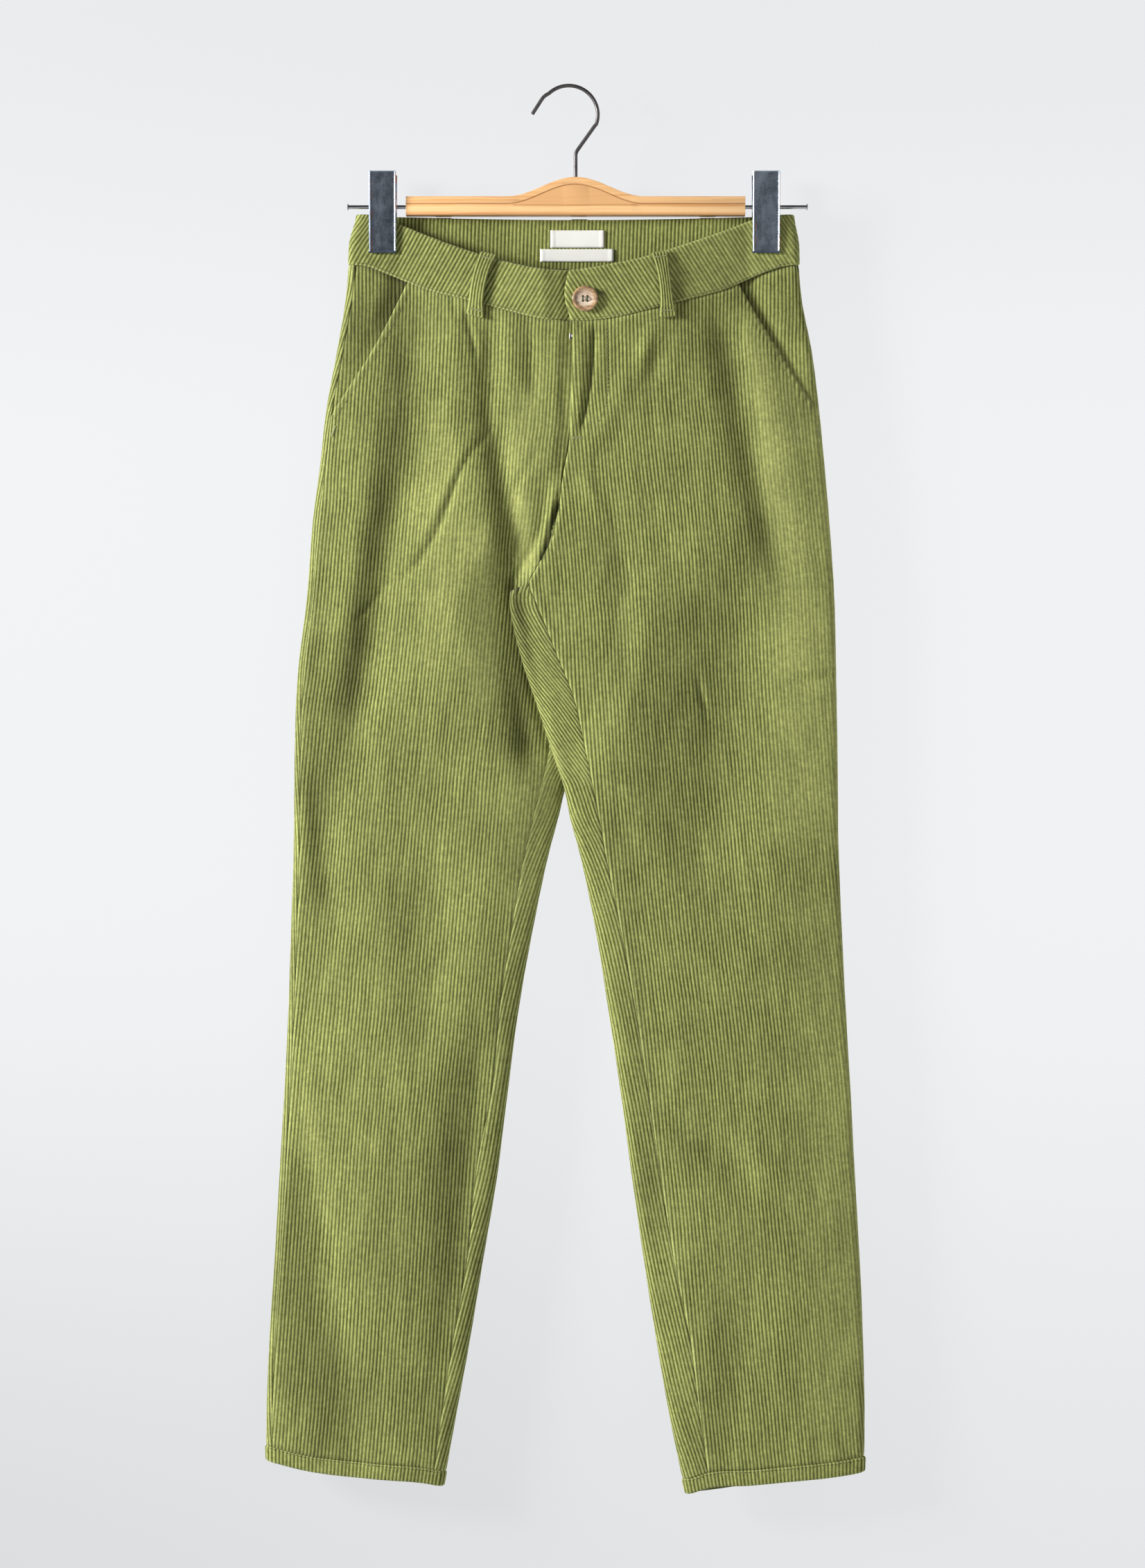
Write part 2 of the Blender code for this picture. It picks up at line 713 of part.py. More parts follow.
def make_waistband_back(finish):
    middle = float(RISES("back", -120))
    left, left_normals = band_grid(-1, "back", band_arcs(-1, "back", middle), 3)
    right, right_normals = band_grid(1, "back", band_arcs(1, "back", middle), 3)
    points = np.concatenate([left, right[:, -2::-1]], axis=1)
    normals = np.concatenate([left_normals, right_normals[:, -2::-1]], axis=1)
    sheet_solid("waistband_back", points, normals, PROUD, BAND, finish)


def skin(wall, x, z):
    """Points and outward normals of a wall at any x and z."""
    x, z = np.broadcast_arrays(np.asarray(x, float), np.asarray(z, float))

    def read(x, z):
        seam = RISES(wall, z)
        return np.where(x > seam, depth(1, wall, x, z), depth(-1, wall, x, z))

    y = read(x, z)
    run = 1.5
    slope_x = (read(x + run, z) - read(x - run, z)) / (2 * run)
    slope_z = (read(x, z + run) - read(x, z - run)) / (2 * run)
    facing = -1 if wall == "front" else 1
    normal = np.stack([-facing * slope_x, np.full_like(y, facing), -facing * slope_z], axis=-1)
    normal /= np.linalg.norm(normal, axis=-1, keepdims=True)
    return np.stack([x, y, z], axis=-1), normal


def ribbon(wall, start, end, width, rows, columns=3):
    """Points and normals of a straight strip on a wall."""
    t = np.linspace(0, 1, rows)[:, None]
    side = np.linspace(-0.5, 0.5, columns)[None, :] * width
    run = np.hypot(end[0] - start[0], end[1] - start[1])
    along = ((end[0] - start[0]) / run, (end[1] - start[1]) / run)
    x = start[0] + t * (end[0] - start[0]) - side * along[1]
    z = start[1] + t * (end[1] - start[1]) + side * along[0]
    return skin(wall, x, z)


# Belt loops: name, wall, upper end, lower end (x, z).
BELT_LOOPS = (
    ("front_left", "front", (-67.4, -132.0), (-78.6, -181.6)),
    ("front_right", "front", (65.0, -131.0), (71.9, -182.6)),
    ("back_left", "back", (-104.0, -100.8), (-104.0, -150.5)),
    ("back_middle", "back", (3.0, -101.6), (3.0, -152.5)),
    ("back_right", "back", (104.0, -100.8), (104.0, -150.5)),
)
LOOP_CLOTH = 2.4
# Woven labels on the inside of the back: name, left end, right end, upper edge, lower edge.
LABELS = (
    ("label_upper", -19.9, 22.6, -111.0, -124.6),
    ("label_lower", -28.0, 30.0, -125.8, -135.6),
)


def make_belt_loops(finish):
    for name, wall, top, low in BELT_LOOPS:
        points, normals = ribbon(wall, top, low, LOOP_WIDTH, 9)
        arch = 1.6 * np.sin(np.pi * np.linspace(0, 1, 9))[:, None]
        sheet_solid(f"belt_loop_{name}", points, normals, PROUD + 0.4 + LOOP_CLOTH + arch, LOOP_CLOTH, finish)


def make_labels(finish):
    for name, left, right, top, low in LABELS:
        middle = (top + low) / 2
        points, normals = ribbon("back", (left, middle), (right, middle), top - low, 5, 2)
        sheet_solid(name, points, normals, PROUD - BAND - 0.35, TAPE, finish)


def make_hem(side, finish):
    """The turned-up end of a leg, a ring of doubled cloth."""
    rows = 3
    grids = []
    for wall in ("front", "back"):
        end = rail_end(side, wall, -1090)
        near = np.array([0.0, 2.2, 5.0, 9.0])
        arcs = np.concatenate([near, np.linspace(9, end - 9, 8)[1:-1], end - near[::-1]])
        arcs = arcs if wall == "front" else arcs[1:-1]
        arcs = np.broadcast_to(arcs, (rows, len(arcs)))
        height = np.full(arcs.shape, -1090.0)
        for _ in range(4):
            low = HEMS(wall, place(side, wall, arcs, height)[..., 0])
            height = low + HEM_DEPTH * np.linspace(1, 0, rows)[:, None]
        grids.append((place(side, wall, arcs, height), outward(side, wall, arcs, height)))
    (front, front_normals), (back, back_normals) = grids
    points = np.concatenate([front, back[:, ::-1]], axis=1)
    normals = np.concatenate([front_normals, back_normals[:, ::-1]], axis=1)
    sheet_solid(f"hem_{name_of(side)}", points, normals, HEM_PROUD, HEM, finish, loop=True)


def make_zip_slider(finish):
    """Only the slider of the closed zip shows, in the top of the fly."""
    points, normals = ribbon("front", (-5.6, -191.5), (-5.6, -199.5), 3.4, 4)
    sheet_solid("zip_slider", points, normals, 2.7, 1.5, finish)


# ---------------------------------------------------------------- hard pieces
def box_mesh(form, low, high):
    corners = [(x, y, z) for x in (low[0], high[0]) for y in (low[1], high[1]) for z in (low[2], high[2])]
    verts = [form.verts.new(np.array(c) * MM) for c in corners]
    for ring in ((0, 1, 3, 2), (4, 6, 7, 5), (0, 4, 5, 1), (2, 3, 7, 6), (0, 2, 6, 4), (1, 5, 7, 3)):
        form.faces.new([verts[i] for i in ring])


def turned(name, profile, finish, segments=32):
    """A solid turned round the local Z axis from (radius, height) points."""
    hollow = profile[0] == profile[-1]
    rings = profile[:-1] if hollow else profile
    count = len(rings)
    angles = np.linspace(0, 2 * np.pi, segments, endpoint=False)
    points = [(r * np.cos(a), r * np.sin(a), height) for r, height in rings for a in angles]
    faces = []
    for i in range(count if hollow else count - 1):
        a, b = i * segments, (i + 1) % count * segments
        for j in range(segments):
            k = (j + 1) % segments
            faces.append((a + j, a + k, b + k, b + j))
    if not hollow:
        faces += [tuple(range(segments)), tuple(range((count - 1) * segments, count * segments))]
    return solid_mesh(name, points, faces, finish)


def cutter(name, radius, length, at, rotation):
    """A hidden cylinder that bores a hole."""
    form = bmesh.new()
    bmesh.ops.create_cone(
        form, cap_ends=True, segments=16, radius1=radius * MM, radius2=radius * MM, depth=length * MM
    )
    mesh = bpy.data.meshes.new(name)
    form.to_mesh(mesh)
    form.free()
    made = bpy.data.objects.new(name, mesh)
    bpy.context.scene.collection.objects.link(made)
    made.location = np.array(at) * MM
    made.rotation_euler = rotation
    made.hide_render = True
    made.display_type = "WIRE"
    return made


def bore(target, cutters):
    for index, tool in enumerate(cutters):
        cut = target.modifiers.new(f"bore {index}", "BOOLEAN")
        cut.operation = "DIFFERENCE"
        cut.object = tool


def make_button(finish):
    """A four-hole button with a raised rim, on the overlapping end of the waistband."""
    radius = BUTTON_WIDTH / 2
    profile = [
        (radius - 2.2, 0.0),
        (radius - 0.5, 0.9),
        (radius, 1.9),
        (radius - 0.4, 3.0),
        (radius - 1.4, 3.4),
        (radius - 2.4, 3.0),
        (radius - 3.6, 2.3),
    ]
    button = turned("button", profile, finish)
    point, normal = skin("front", BUTTON_AT[0], BUTTON_AT[1])
    normal = normal / np.linalg.norm(normal)
    button.rotation_euler = (np.arctan2(np.hypot(normal[0], normal[1]), normal[2]), 0, 0)
    button.location = (point + normal * (PROUD + 0.75)) * MM
    holes = []
    for x in (-BUTTON_HOLES, BUTTON_HOLES):
        for z in (-BUTTON_HOLES, BUTTON_HOLES):
            tool = cutter("button_hole", 0.95, 12, (x, z, 1.5), (0, 0, 0))
            tool.parent = button
            holes.append(tool)
    bore(button, holes)


def bar_outline():
    """The wooden bar from the front: a flat bar with a low hump round the hook."""
    left, right = BAR_ENDS
    xs = np.concatenate([[right], np.linspace(HUMP_REACH, -HUMP_REACH, 25), [left]])
    rise = (HUMP_TOP - BAR_TOP) * 0.5 * (1 + np.cos(np.pi * np.clip(xs / HUMP_REACH, -1, 1)))
    return [(left, BAR_BOTTOM), (right, BAR_BOTTOM)] + list(zip(xs, BAR_TOP + rise))


def make_bar(finish):
    outline = bar_outline()
    count = len(outline)
    points = [(x, y, z) for y in (-BAR_DEPTH / 2, BAR_DEPTH / 2) for x, z in outline]
    faces = [tuple(range(count)), tuple(range(2 * count - 1, count - 1, -1))]
    faces += [(i, (i + 1) % count, (i + 1) % count + count, i + count) for i in range(count)]
    bar = solid_mesh("hanger_bar", points, faces, finish)
    edge = bar.modifiers.new("eased edges", "BEVEL")
    edge.width = 1.4 * MM
    edge.segments = 2
    edge.limit_method = "ANGLE"
    edge.angle_limit = np.radians(50)
    quarter = np.pi / 2
    bore(
        bar,
        [
            cutter("stem_hole", WIRE + 0.3, 2 * STEM_DEPTH, (0, 0, HUMP_TOP), (0, 0, 0)),
            cutter("rod_hole_left", ROD_RADIUS + 0.3, 2 * ROD_INSERT, (BAR_ENDS[0], 0, ROD_Z), (0, quarter, 0)),
            cutter("rod_hole_right", ROD_RADIUS + 0.3, 2 * ROD_INSERT, (BAR_ENDS[1], 0, ROD_Z), (0, quarter, 0)),
        ],
    )


def hook_route():
    """The hook from its foot in the bar, up the stem, over the crown and down to its open tip."""
    stem = [(0, HUMP_TOP - STEM_DEPTH + 0.4), (0, -62), (0, -52.6), (0.4, -50.6), (1.6, -48.4)]
    start, end = np.radians(-19), np.radians(133)
    arc = [(HOOK_X + HOOK_RADIUS * np.cos(a), HOOK_Z + HOOK_RADIUS * np.sin(a)) for a in np.linspace(start, end, 22)]
    neck = [(13.9, -31.2), (15.3, -29.3)]
    tip = [(-25.4, -6.9), (-34.1, -20.4)]
    return stem + neck + arc + tip


def wire(name, route, radius, finish, resolution=3):
    """A round wire through points in millimetres."""
    curve = bpy.data.curves.new(name, "CURVE")
    curve.dimensions = "3D"
    curve.bevel_depth = radius * MM
    curve.bevel_resolution = resolution
    curve.use_fill_caps = True
    spline = curve.splines.new("POLY")
    spline.points.add(len(route) - 1)
    for point, (x, y, z) in zip(spline.points, route):
        point.co = (x * MM, y * MM, z * MM, 1)
    curve.materials.append(finish)
    made = bpy.data.objects.new(name, curve)
    bpy.context.scene.collection.objects.link(made)
    return made


def make_hook(finish):
    wire("hanger_hook", [(x, 0, z) for x, z in hook_route()], WIRE, finish)


def make_rods(finish):
    """The two steel rods that the clips slide on, each with a nail head at its outer end."""
    for side, x_bar, x_end in ((-1, BAR_ENDS[0], ROD_ENDS[0]), (1, BAR_ENDS[1], ROD_ENDS[1])):
        length = abs(x_end - x_bar) + ROD_INSERT - 0.5
        profile = [
            (ROD_RADIUS - 0.3, 0),
            (ROD_RADIUS, 0.4),
            (ROD_RADIUS, length - 2.0),
            (2.7, length - 1.2),
            (2.7, length - 0.4),
            (1.9, length),
        ]
        rod = turned(f"rod_{name_of(side)}", profile, finish, 16)
        rod.rotation_euler = (0, side * np.pi / 2, 0)
        rod.location = np.array([x_bar - side * (ROD_INSERT - 0.5), 0, ROD_Z]) * MM


def clip_plate(name, x, facing, ear_x, finish):
    """One plate of a clip: it leans from the rod in to the waistband, with two ears round the rod."""
    form = bmesh.new()
    bottom, top = CLIP_GRIP, CLIP_GRIP + CLIP_LEAN
    rows = [(bottom + 1.2, CLIP_BOTTOM), (bottom, CLIP_BOTTOM + 3)]
    rows += [(bottom + CLIP_LEAN * 0.5, ROD_Z), (top, CLIP_TOP)]
    half = CLIP_WIDTH / 2
    corners = []
    for y, z in rows:
        corners.append([(x - half, facing * y, z), (x + half, facing * y, z)])
    for y, z in reversed(rows):
        corners.append([(x - half, facing * (y + PLATE), z), (x + half, facing * (y + PLATE), z)])
    verts = [[form.verts.new(np.array(c) * MM) for c in pair] for pair in corners]
    count = len(verts)
    for i in range(count):
        a, b = verts[i], verts[(i + 1) % count]
        form.faces.new((a[0], a[1], b[1], b[0]))
    form.faces.new([pair[0] for pair in verts])
    form.faces.new([pair[1] for pair in reversed(verts)])
    bmesh.ops.recalc_face_normals(form, faces=form.faces)
    mesh = bpy.data.meshes.new(name)
    form.to_mesh(mesh)
    form.free()
    plate = new_object(name, mesh, finish)
    ears = []
    for sign in (-1, 1):
        ear_form = bmesh.new()
        inner, outer = sorted((x + sign * ear_x, x + sign * (ear_x + PLATE)))
        near, far = sorted((-facing * EAR_PAST, facing * (bottom + CLIP_LEAN * 0.5 + PLATE * 0.5)))
        box_mesh(ear_form, (inner, near, ROD_Z - EAR_HALF), (outer, far, ROD_Z + EAR_HALF))
        bmesh.ops.recalc_face_normals(ear_form, faces=ear_form.faces)
        ear_mesh = bpy.data.meshes.new(f"{name}_ear")
        ear_form.to_mesh(ear_mesh)
        ear_form.free()
        ear = bpy.data.objects.new(f"{name}_ear", ear_mesh)
        bpy.context.scene.collection.objects.link(ear)
        ear.hide_render = True
        ear.display_type = "WIRE"
        ears.append(ear)
    for ear in ears:
        join = plate.modifiers.new("ear", "BOOLEAN")
        join.operation = "UNION"
        join.object = ear
    bore(plate, [cutter(f"{name}_hole", ROD_RADIUS + 0.35, 40, (x, 0, ROD_Z), (0, np.pi / 2, 0))])
    return plate


def make_clips(finish, spring_finish):
    for side, x in zip((-1, 1), CLIP_X):
        name = name_of(side)
        clip_plate(f"clip_front_{name}", x, -1, CLIP_WIDTH / 2 - PLATE, finish)
        clip_plate(f"clip_back_{name}", x, 1, CLIP_WIDTH / 2 - 2 * PLATE - 0.4, finish)
        length = CLIP_WIDTH - 4 * PLATE - 1.6
        tube = turned(
            f"clip_spring_{name}",
            [(ROD_RADIUS + 0.4, 0), (3.7, 0), (3.7, length), (ROD_RADIUS + 0.4, length), (ROD_RADIUS + 0.4, 0)],
            spring_finish,
            16,
        )
        tube.rotation_euler = (0, np.pi / 2, 0)
        tube.location = np.array([x - length / 2, 0, ROD_Z]) * MM


def remove_everything():
    for thing in list(bpy.data.objects):
        bpy.data.objects.remove(thing, do_unlink=True)


def main():
    remove_everything()
    cord = material("corduroy", (0.19, 0.25, 0.07), 0.9)
    wood = material("pale wood", (0.66, 0.40, 0.18), 0.5)
    steel = material("steel wire", (0.62, 0.62, 0.64), 0.25, 1.0)
    chrome = material("chrome plate", (0.75, 0.75, 0.78), 0.12, 1.0)
    tape = material("woven label", (0.80, 0.78, 0.70), 0.85)
    horn = material("horn button", (0.45, 0.30, 0.18), 0.35)
    for side in (-1, 1):
        make_front(side, cord)
        make_back(side, cord)
        make_pocket_facing(side, cord)
        make_hem(side, cord)
    make_waistband_fronts(cord)
    make_waistband_back(cord)
    make_belt_loops(cord)
    make_labels(tape)
    make_zip_slider(steel)
    make_button(horn)
    make_bar(wood)
    make_hook(steel)
    make_rods(steel)
    make_clips(chrome, steel)


main()
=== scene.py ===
"""Green corduroy chinos that hang by the waistband from a wooden clip hanger.

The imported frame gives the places. Lengths in this file's tables are millimetres, with the point of
the hook that bears on the rail at the origin, +Z up and the front of the garment facing -Y. "Left"
and "right" are as seen from the front. Meshes are made in metres.
"""

import math

import bmesh
import bpy
import numpy as np
from mathutils import Matrix, Vector


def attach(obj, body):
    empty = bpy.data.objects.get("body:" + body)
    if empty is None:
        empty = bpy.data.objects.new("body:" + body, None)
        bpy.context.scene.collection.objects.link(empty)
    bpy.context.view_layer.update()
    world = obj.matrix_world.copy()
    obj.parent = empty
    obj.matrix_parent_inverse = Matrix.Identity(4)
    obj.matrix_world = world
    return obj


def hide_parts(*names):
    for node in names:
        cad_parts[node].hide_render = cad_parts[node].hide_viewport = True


bl_info = {
    "name": "Corduroy chinos on a clip hanger",
    "version": (1, 0, 0),
    "blender": (4, 5, 0),
    "location": "View3D > Sidebar > Chinos",
    "description": "Builds the cloth, trim and hanger of a pair of corduroy chinos",
    "category": "Object",
}

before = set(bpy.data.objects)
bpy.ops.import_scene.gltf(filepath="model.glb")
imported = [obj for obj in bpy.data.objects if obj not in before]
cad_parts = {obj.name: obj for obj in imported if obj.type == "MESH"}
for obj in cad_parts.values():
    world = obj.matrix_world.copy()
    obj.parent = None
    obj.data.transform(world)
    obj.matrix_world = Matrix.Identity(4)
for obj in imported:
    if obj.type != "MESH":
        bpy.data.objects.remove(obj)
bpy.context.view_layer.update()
MM = 0.001

# ---- sizes of the cloth solids
CLOTH = 1.6  # one layer of corduroy
BAND = 2.8  # waistband, two layers
HEM = 3.0  # turned-up hem, two layers
SEAM = -0.2  # two sewn pieces press into each other by this much
PROUD = 0.7  # how far the doubled cloth stands out from the panels
EDGE = 4.5  # half the thickness of the garment at a folded edge
FOLD_REACH = 6.0  # distance over which a folded edge rounds off
LEAN = 5.3  # how far the two legs shift apart in depth where they overlap
FACING = 1.2  # the pocket facing is of thinner cloth
POCKET_DROP = CLOTH + 0.9  # the pocket facing lies this far behind the front
CROTCH = -390.0  # height where the four panels meet
FORK = -404.0  # height of the seat seam's lowest point
FLY_END = -278.0
FACING_END = -268  # height where the pocket facings end
FACING_UNDER = 11.5  # how far they run on under the front
HEM_DEPTH = 12.0
HEM_LEVEL = -1090.0  # height about halfway up the hems
WAIST_TOP = -100.0
LEG_END = -1110.0
UNDERLAP = 5.0  # the left front runs this far under the fly
OUTER_SEAM = {-1: 7.5, 1: 0.3}  # how far round on the front each side seam runs


class Table:
    """Rows of numbers over a first column, read through smooth curves."""

    def __init__(self, columns, rows):
        data = np.array(sorted(rows), float)
        self.at = data[:, 0]
        self.columns = dict(zip(columns[1:], data[:, 1:].T))

    def __call__(self, column, at):
        x, y = self.at, self.columns[column]
        step = np.diff(x)
        slope = np.diff(y) / step
        inner = (slope[:-1] * step[1:] + slope[1:] * step[:-1]) / (step[1:] + step[:-1])
        tangent = np.concatenate([slope[:1], inner, slope[-1:]])
        at = np.clip(at, x[0], x[-1])
        i = np.clip(np.searchsorted(x, at, side="right") - 1, 0, len(x) - 2)
        t = (at - x[i]) / step[i]
        a, b = y[i], y[i + 1]
        ma, mb = tangent[i] * step[i], tangent[i + 1] * step[i]
        return a + t * (ma + t * (3 * (b - a) - 2 * ma - mb + t * (2 * (a - b) + ma + mb)))


# Outer edges of the garment, from the waist to the hems.
SIDES = Table(
    ("height", "left", "right"),
    [
        (-99, -177.2, 175.0), (-165, -180.7, 177.9), (-208, -187.8, 186.1), (-252, -195.9, 191.6),
        (-296, -200.8, 195.9), (-334, -205.9, 199.2), (-399, -211.2, 203.6), (-465, -218.8, 205.2),
        (-530, -221.0, 206.3), (-595, -221.6, 207.0), (-661, -223.7, 209.6), (-726, -225.9, 212.8),
        (-792, -229.2, 216.6), (-857, -233.0, 220.0), (-922, -236.8, 223.7), (-988, -241.0, 226.4),
        (-1053, -243.2, 227.5), (-1111, -242.6, 226.2),
    ],
)
# Inner folds of the legs. Above the fork they are the edges of the two shallow dips beside the
# front and the seat seam.
FOLDS = Table(
    ("height", "left", "right"),
    [
        (-285, 20.0, -18.0), (-301, 22.0, -21.0), (-333, 27.0, -25.5), (-350, 31.0, -28.5),
        (-372, 38.0, -40.0), (-390, 43.0, -50.0), (-404, 34.6, -51.8), (-424, 31.3, -48.8),
        (-452, 24.3, -41.7), (-486, 12.8, -30.2), (-521, 1.4, -18.8), (-549, -7.6, -9.4),
        (-575, -13.9, -4.1), (-595, -19.3, 1.4), (-661, -33.5, 15.5), (-726, -45.0, 25.9),
        (-792, -53.7, 35.7), (-857, -61.9, 44.4), (-922, -72.8, 53.7), (-988, -83.7, 64.0),
        (-1053, -95.6, 75.5), (-1111, -106.0, 87.8),
    ],
)
# Inside leg seams. They run on the front, because the back panels fold round to them.
INSEAMS = Table(
    ("height", "left", "right"),
    [
        (-390, -37.3, -37.3), (-410, -33.0, -28.6), (-442, -26.0, -16.1), (-481, -19.0, -0.8),
        (-519, -21.0, 7.5), (-563, -31.2, 16.6), (-612, -42.2, 25.5), (-669, -51.5, 37.1),
        (-723, -59.7, 46.7), (-781, -64.6, 56.0), (-845, -77.1, 65.3), (-922, -85.3, 77.5),
        (-988, -96.7, 90.7), (-1050, -106.5, 98.5), (-1111, -114.0, 107.5),
    ],
)
# Centre seams: the front one from the waistband to the crotch, the back one down to the fork.
RISES = Table(
    ("height", "front", "back"),
    [
        (-100, -3.0, 3.0), (-186, -2.2, 3.2), (-250, -3.6, 4.6), (-285, -5.7, 7.2), (-301, -9.0, 9.6),
        (-333, -13.4, 15.0), (-350, -16.6, 19.0), (-372, -27.5, 26.5), (-390, -37.3, 32.0),
        (-404, -45.0, 34.6),
    ],
)
# How far the walls stand out from the middle plane, halfway across.
DEPTHS = Table(
    ("height", "front", "back"),
    [
        (-100, 20.0, 8.0), (-145, 19.5, 8.5), (-190, 18.0, 12.0), (-250, 16.0, 15.5), (-330, 15.0, 16.0),
        (-400, 13.0, 14.0), (-560, 12.0, 12.0), (-800, 12.0, 12.0), (-1000, 11.0, 11.0), (-1111, 9.5, 10.0),
    ],
)
# The waistband by distance from the middle: front edge, front seam, back edge and back seam.
WAIST = Table(
    ("x", "front_top", "front_seam", "back_top", "back_seam"),
    [
        (-180, -99.6, -139.0, -99.6, -139.0), (-162, -100.4, -141.2, -99.9, -139.3),
        (-147, -104.2, -147.0, -100.6, -139.8), (-118, -116.3, -159.0, -101.2, -140.6),
        (-86, -128.6, -167.8, -101.8, -141.4), (-55, -138.2, -176.4, -102.2, -142.0),
        (-25, -144.4, -183.6, -102.5, -142.2), (0, -145.0, -185.0, -102.5, -142.2),
        (25, -141.0, -183.2, -102.5, -142.2), (55, -134.3, -176.4, -102.2, -142.0),
        (86, -124.2, -168.0, -101.8, -141.4), (118, -112.6, -158.8, -101.2, -140.6),
        (147, -101.9, -145.8, -100.6, -139.8), (162, -100.2, -140.8, -99.9, -139.3),
        (180, -99.6, -138.8, -99.6, -138.8),
    ],
)
# Slanted pocket mouths.
POCKETS = Table(
    ("height", "left", "right"),
    [
        (-140, -125.0, 121.0), (-154, -132.7, 128.3), (-188, -149.6, 147.6), (-214, -164.0, 163.6),
        (-238, -179.6, 178.8), (-254, -190.2, 190.8), (-262, -196.0, 196.0),
    ],
)
# Lower edges of the hems.
HEMS = Table(
    ("x", "front", "back"),
    [
        (-244, -1078.6, -1078.6), (-215, -1085.6, -1085.8), (-160, -1092.4, -1093.4),
        (-119, -1096.2, -1098.0), (-105, -1098.8, -1098.8), (-100, -1099.2, -1099.2),
        (80, -1105.4, -1105.4), (88, -1105.0, -1105.0), (104, -1099.8, -1103.8), (136, -1097.6, -1099.8),
        (160, -1095.4, -1096.6), (223, -1088.4, -1089.0), (230, -1087.0, -1087.0),
    ],
)
# Broad soft troughs by wall: start (x, z), end (x, z), half width, depth. A ridge has less than 0.
TROUGHS = {
    "front": (
        ((-127, -168), (-131, -232), 16, 4.6), ((-124, -250), (-128, -320), 25, 5.4),
        ((-141, -318), (-168, -474), 15, 5.6), ((-122, -335), (-150, -470), 26, 4.2),
        ((-176, -490), (-198, -600), 18, 1.8), ((-66, -190), (-68, -262), 9, 4.2),
        ((-62, -270), (-47, -372), 11, 6.0), ((-44, -384), (-34, -520), 11, 5.5),
        ((116, -190), (135, -280), 15, 5.6), ((139, -294), (158, -372), 15, 5.5),
        ((134, -412), (110, -590), 36, 7.2), ((60, -420), (30, -560), 22, -2.5),
        ((8, -310), (42, -415), 8, -2.4), ((-2, -226), (-40, -190), 9, -0.8),
        ((66, -190), (8, -290), 8, -1.8), ((-112, -620), (-118, -740), 24, 4.0),
        ((-74, -762), (-82, -850), 24, 3.6), ((-76, -870), (-80, -1020), 26, 4.0),
        ((-206, -850), (-172, -1070), 21, 4.0), ((-206, -785), (-146, -828), 10, -1.6),
        ((76, -812), (134, -852), 13, 3.6), ((132, -960), (122, -1060), 22, 3.6),
        ((-198, -560), (-194, -640), 12, 3.6),
    ),
    "back": (
        ((-128, -170), (-96, -330), 16, 3.5), ((126, -170), (98, -340), 16, 3.5),
        ((-60, -300), (-118, -430), 18, 3.5), ((70, -330), (122, -450), 18, 3.0),
        ((-120, -760), (-170, -830), 20, 3.0), ((130, -700), (176, -800), 20, 3.0),
    ),
}


# Distance from the middle of the rib that the others are counted from: it leans out with the leg.
GRAIN_LINE = Table(
    ("height", "left", "right", "right_back"),
    [
        (-100, 64.0, 65.0, 80.0), (-190, 65.5, 65.5, 80.0), (-230, 66.9, 66.8, 80.0),
        (-290, 70.7, 72.0, 80.0), (-350, 75.6, 78.2, 79.5), (-410, 81.2, 83.0, 76.0),
        (-470, 87.3, 86.2, 66.5), (-530, 93.6, 90.6, 62.5), (-590, 99.2, 95.8, 65.5),
        (-650, 104.4, 101.8, 70.5), (-710, 110.0, 109.2, 76.5), (-770, 115.8, 116.0, 83.0),
        (-830, 121.0, 121.6, 88.5), (-890, 125.2, 127.8, 94.5), (-950, 129.2, 133.0, 99.5),
        (-1010, 133.6, 138.6, 105.0), (-1111, 142.0, 148.5, 115.0),
    ],
)
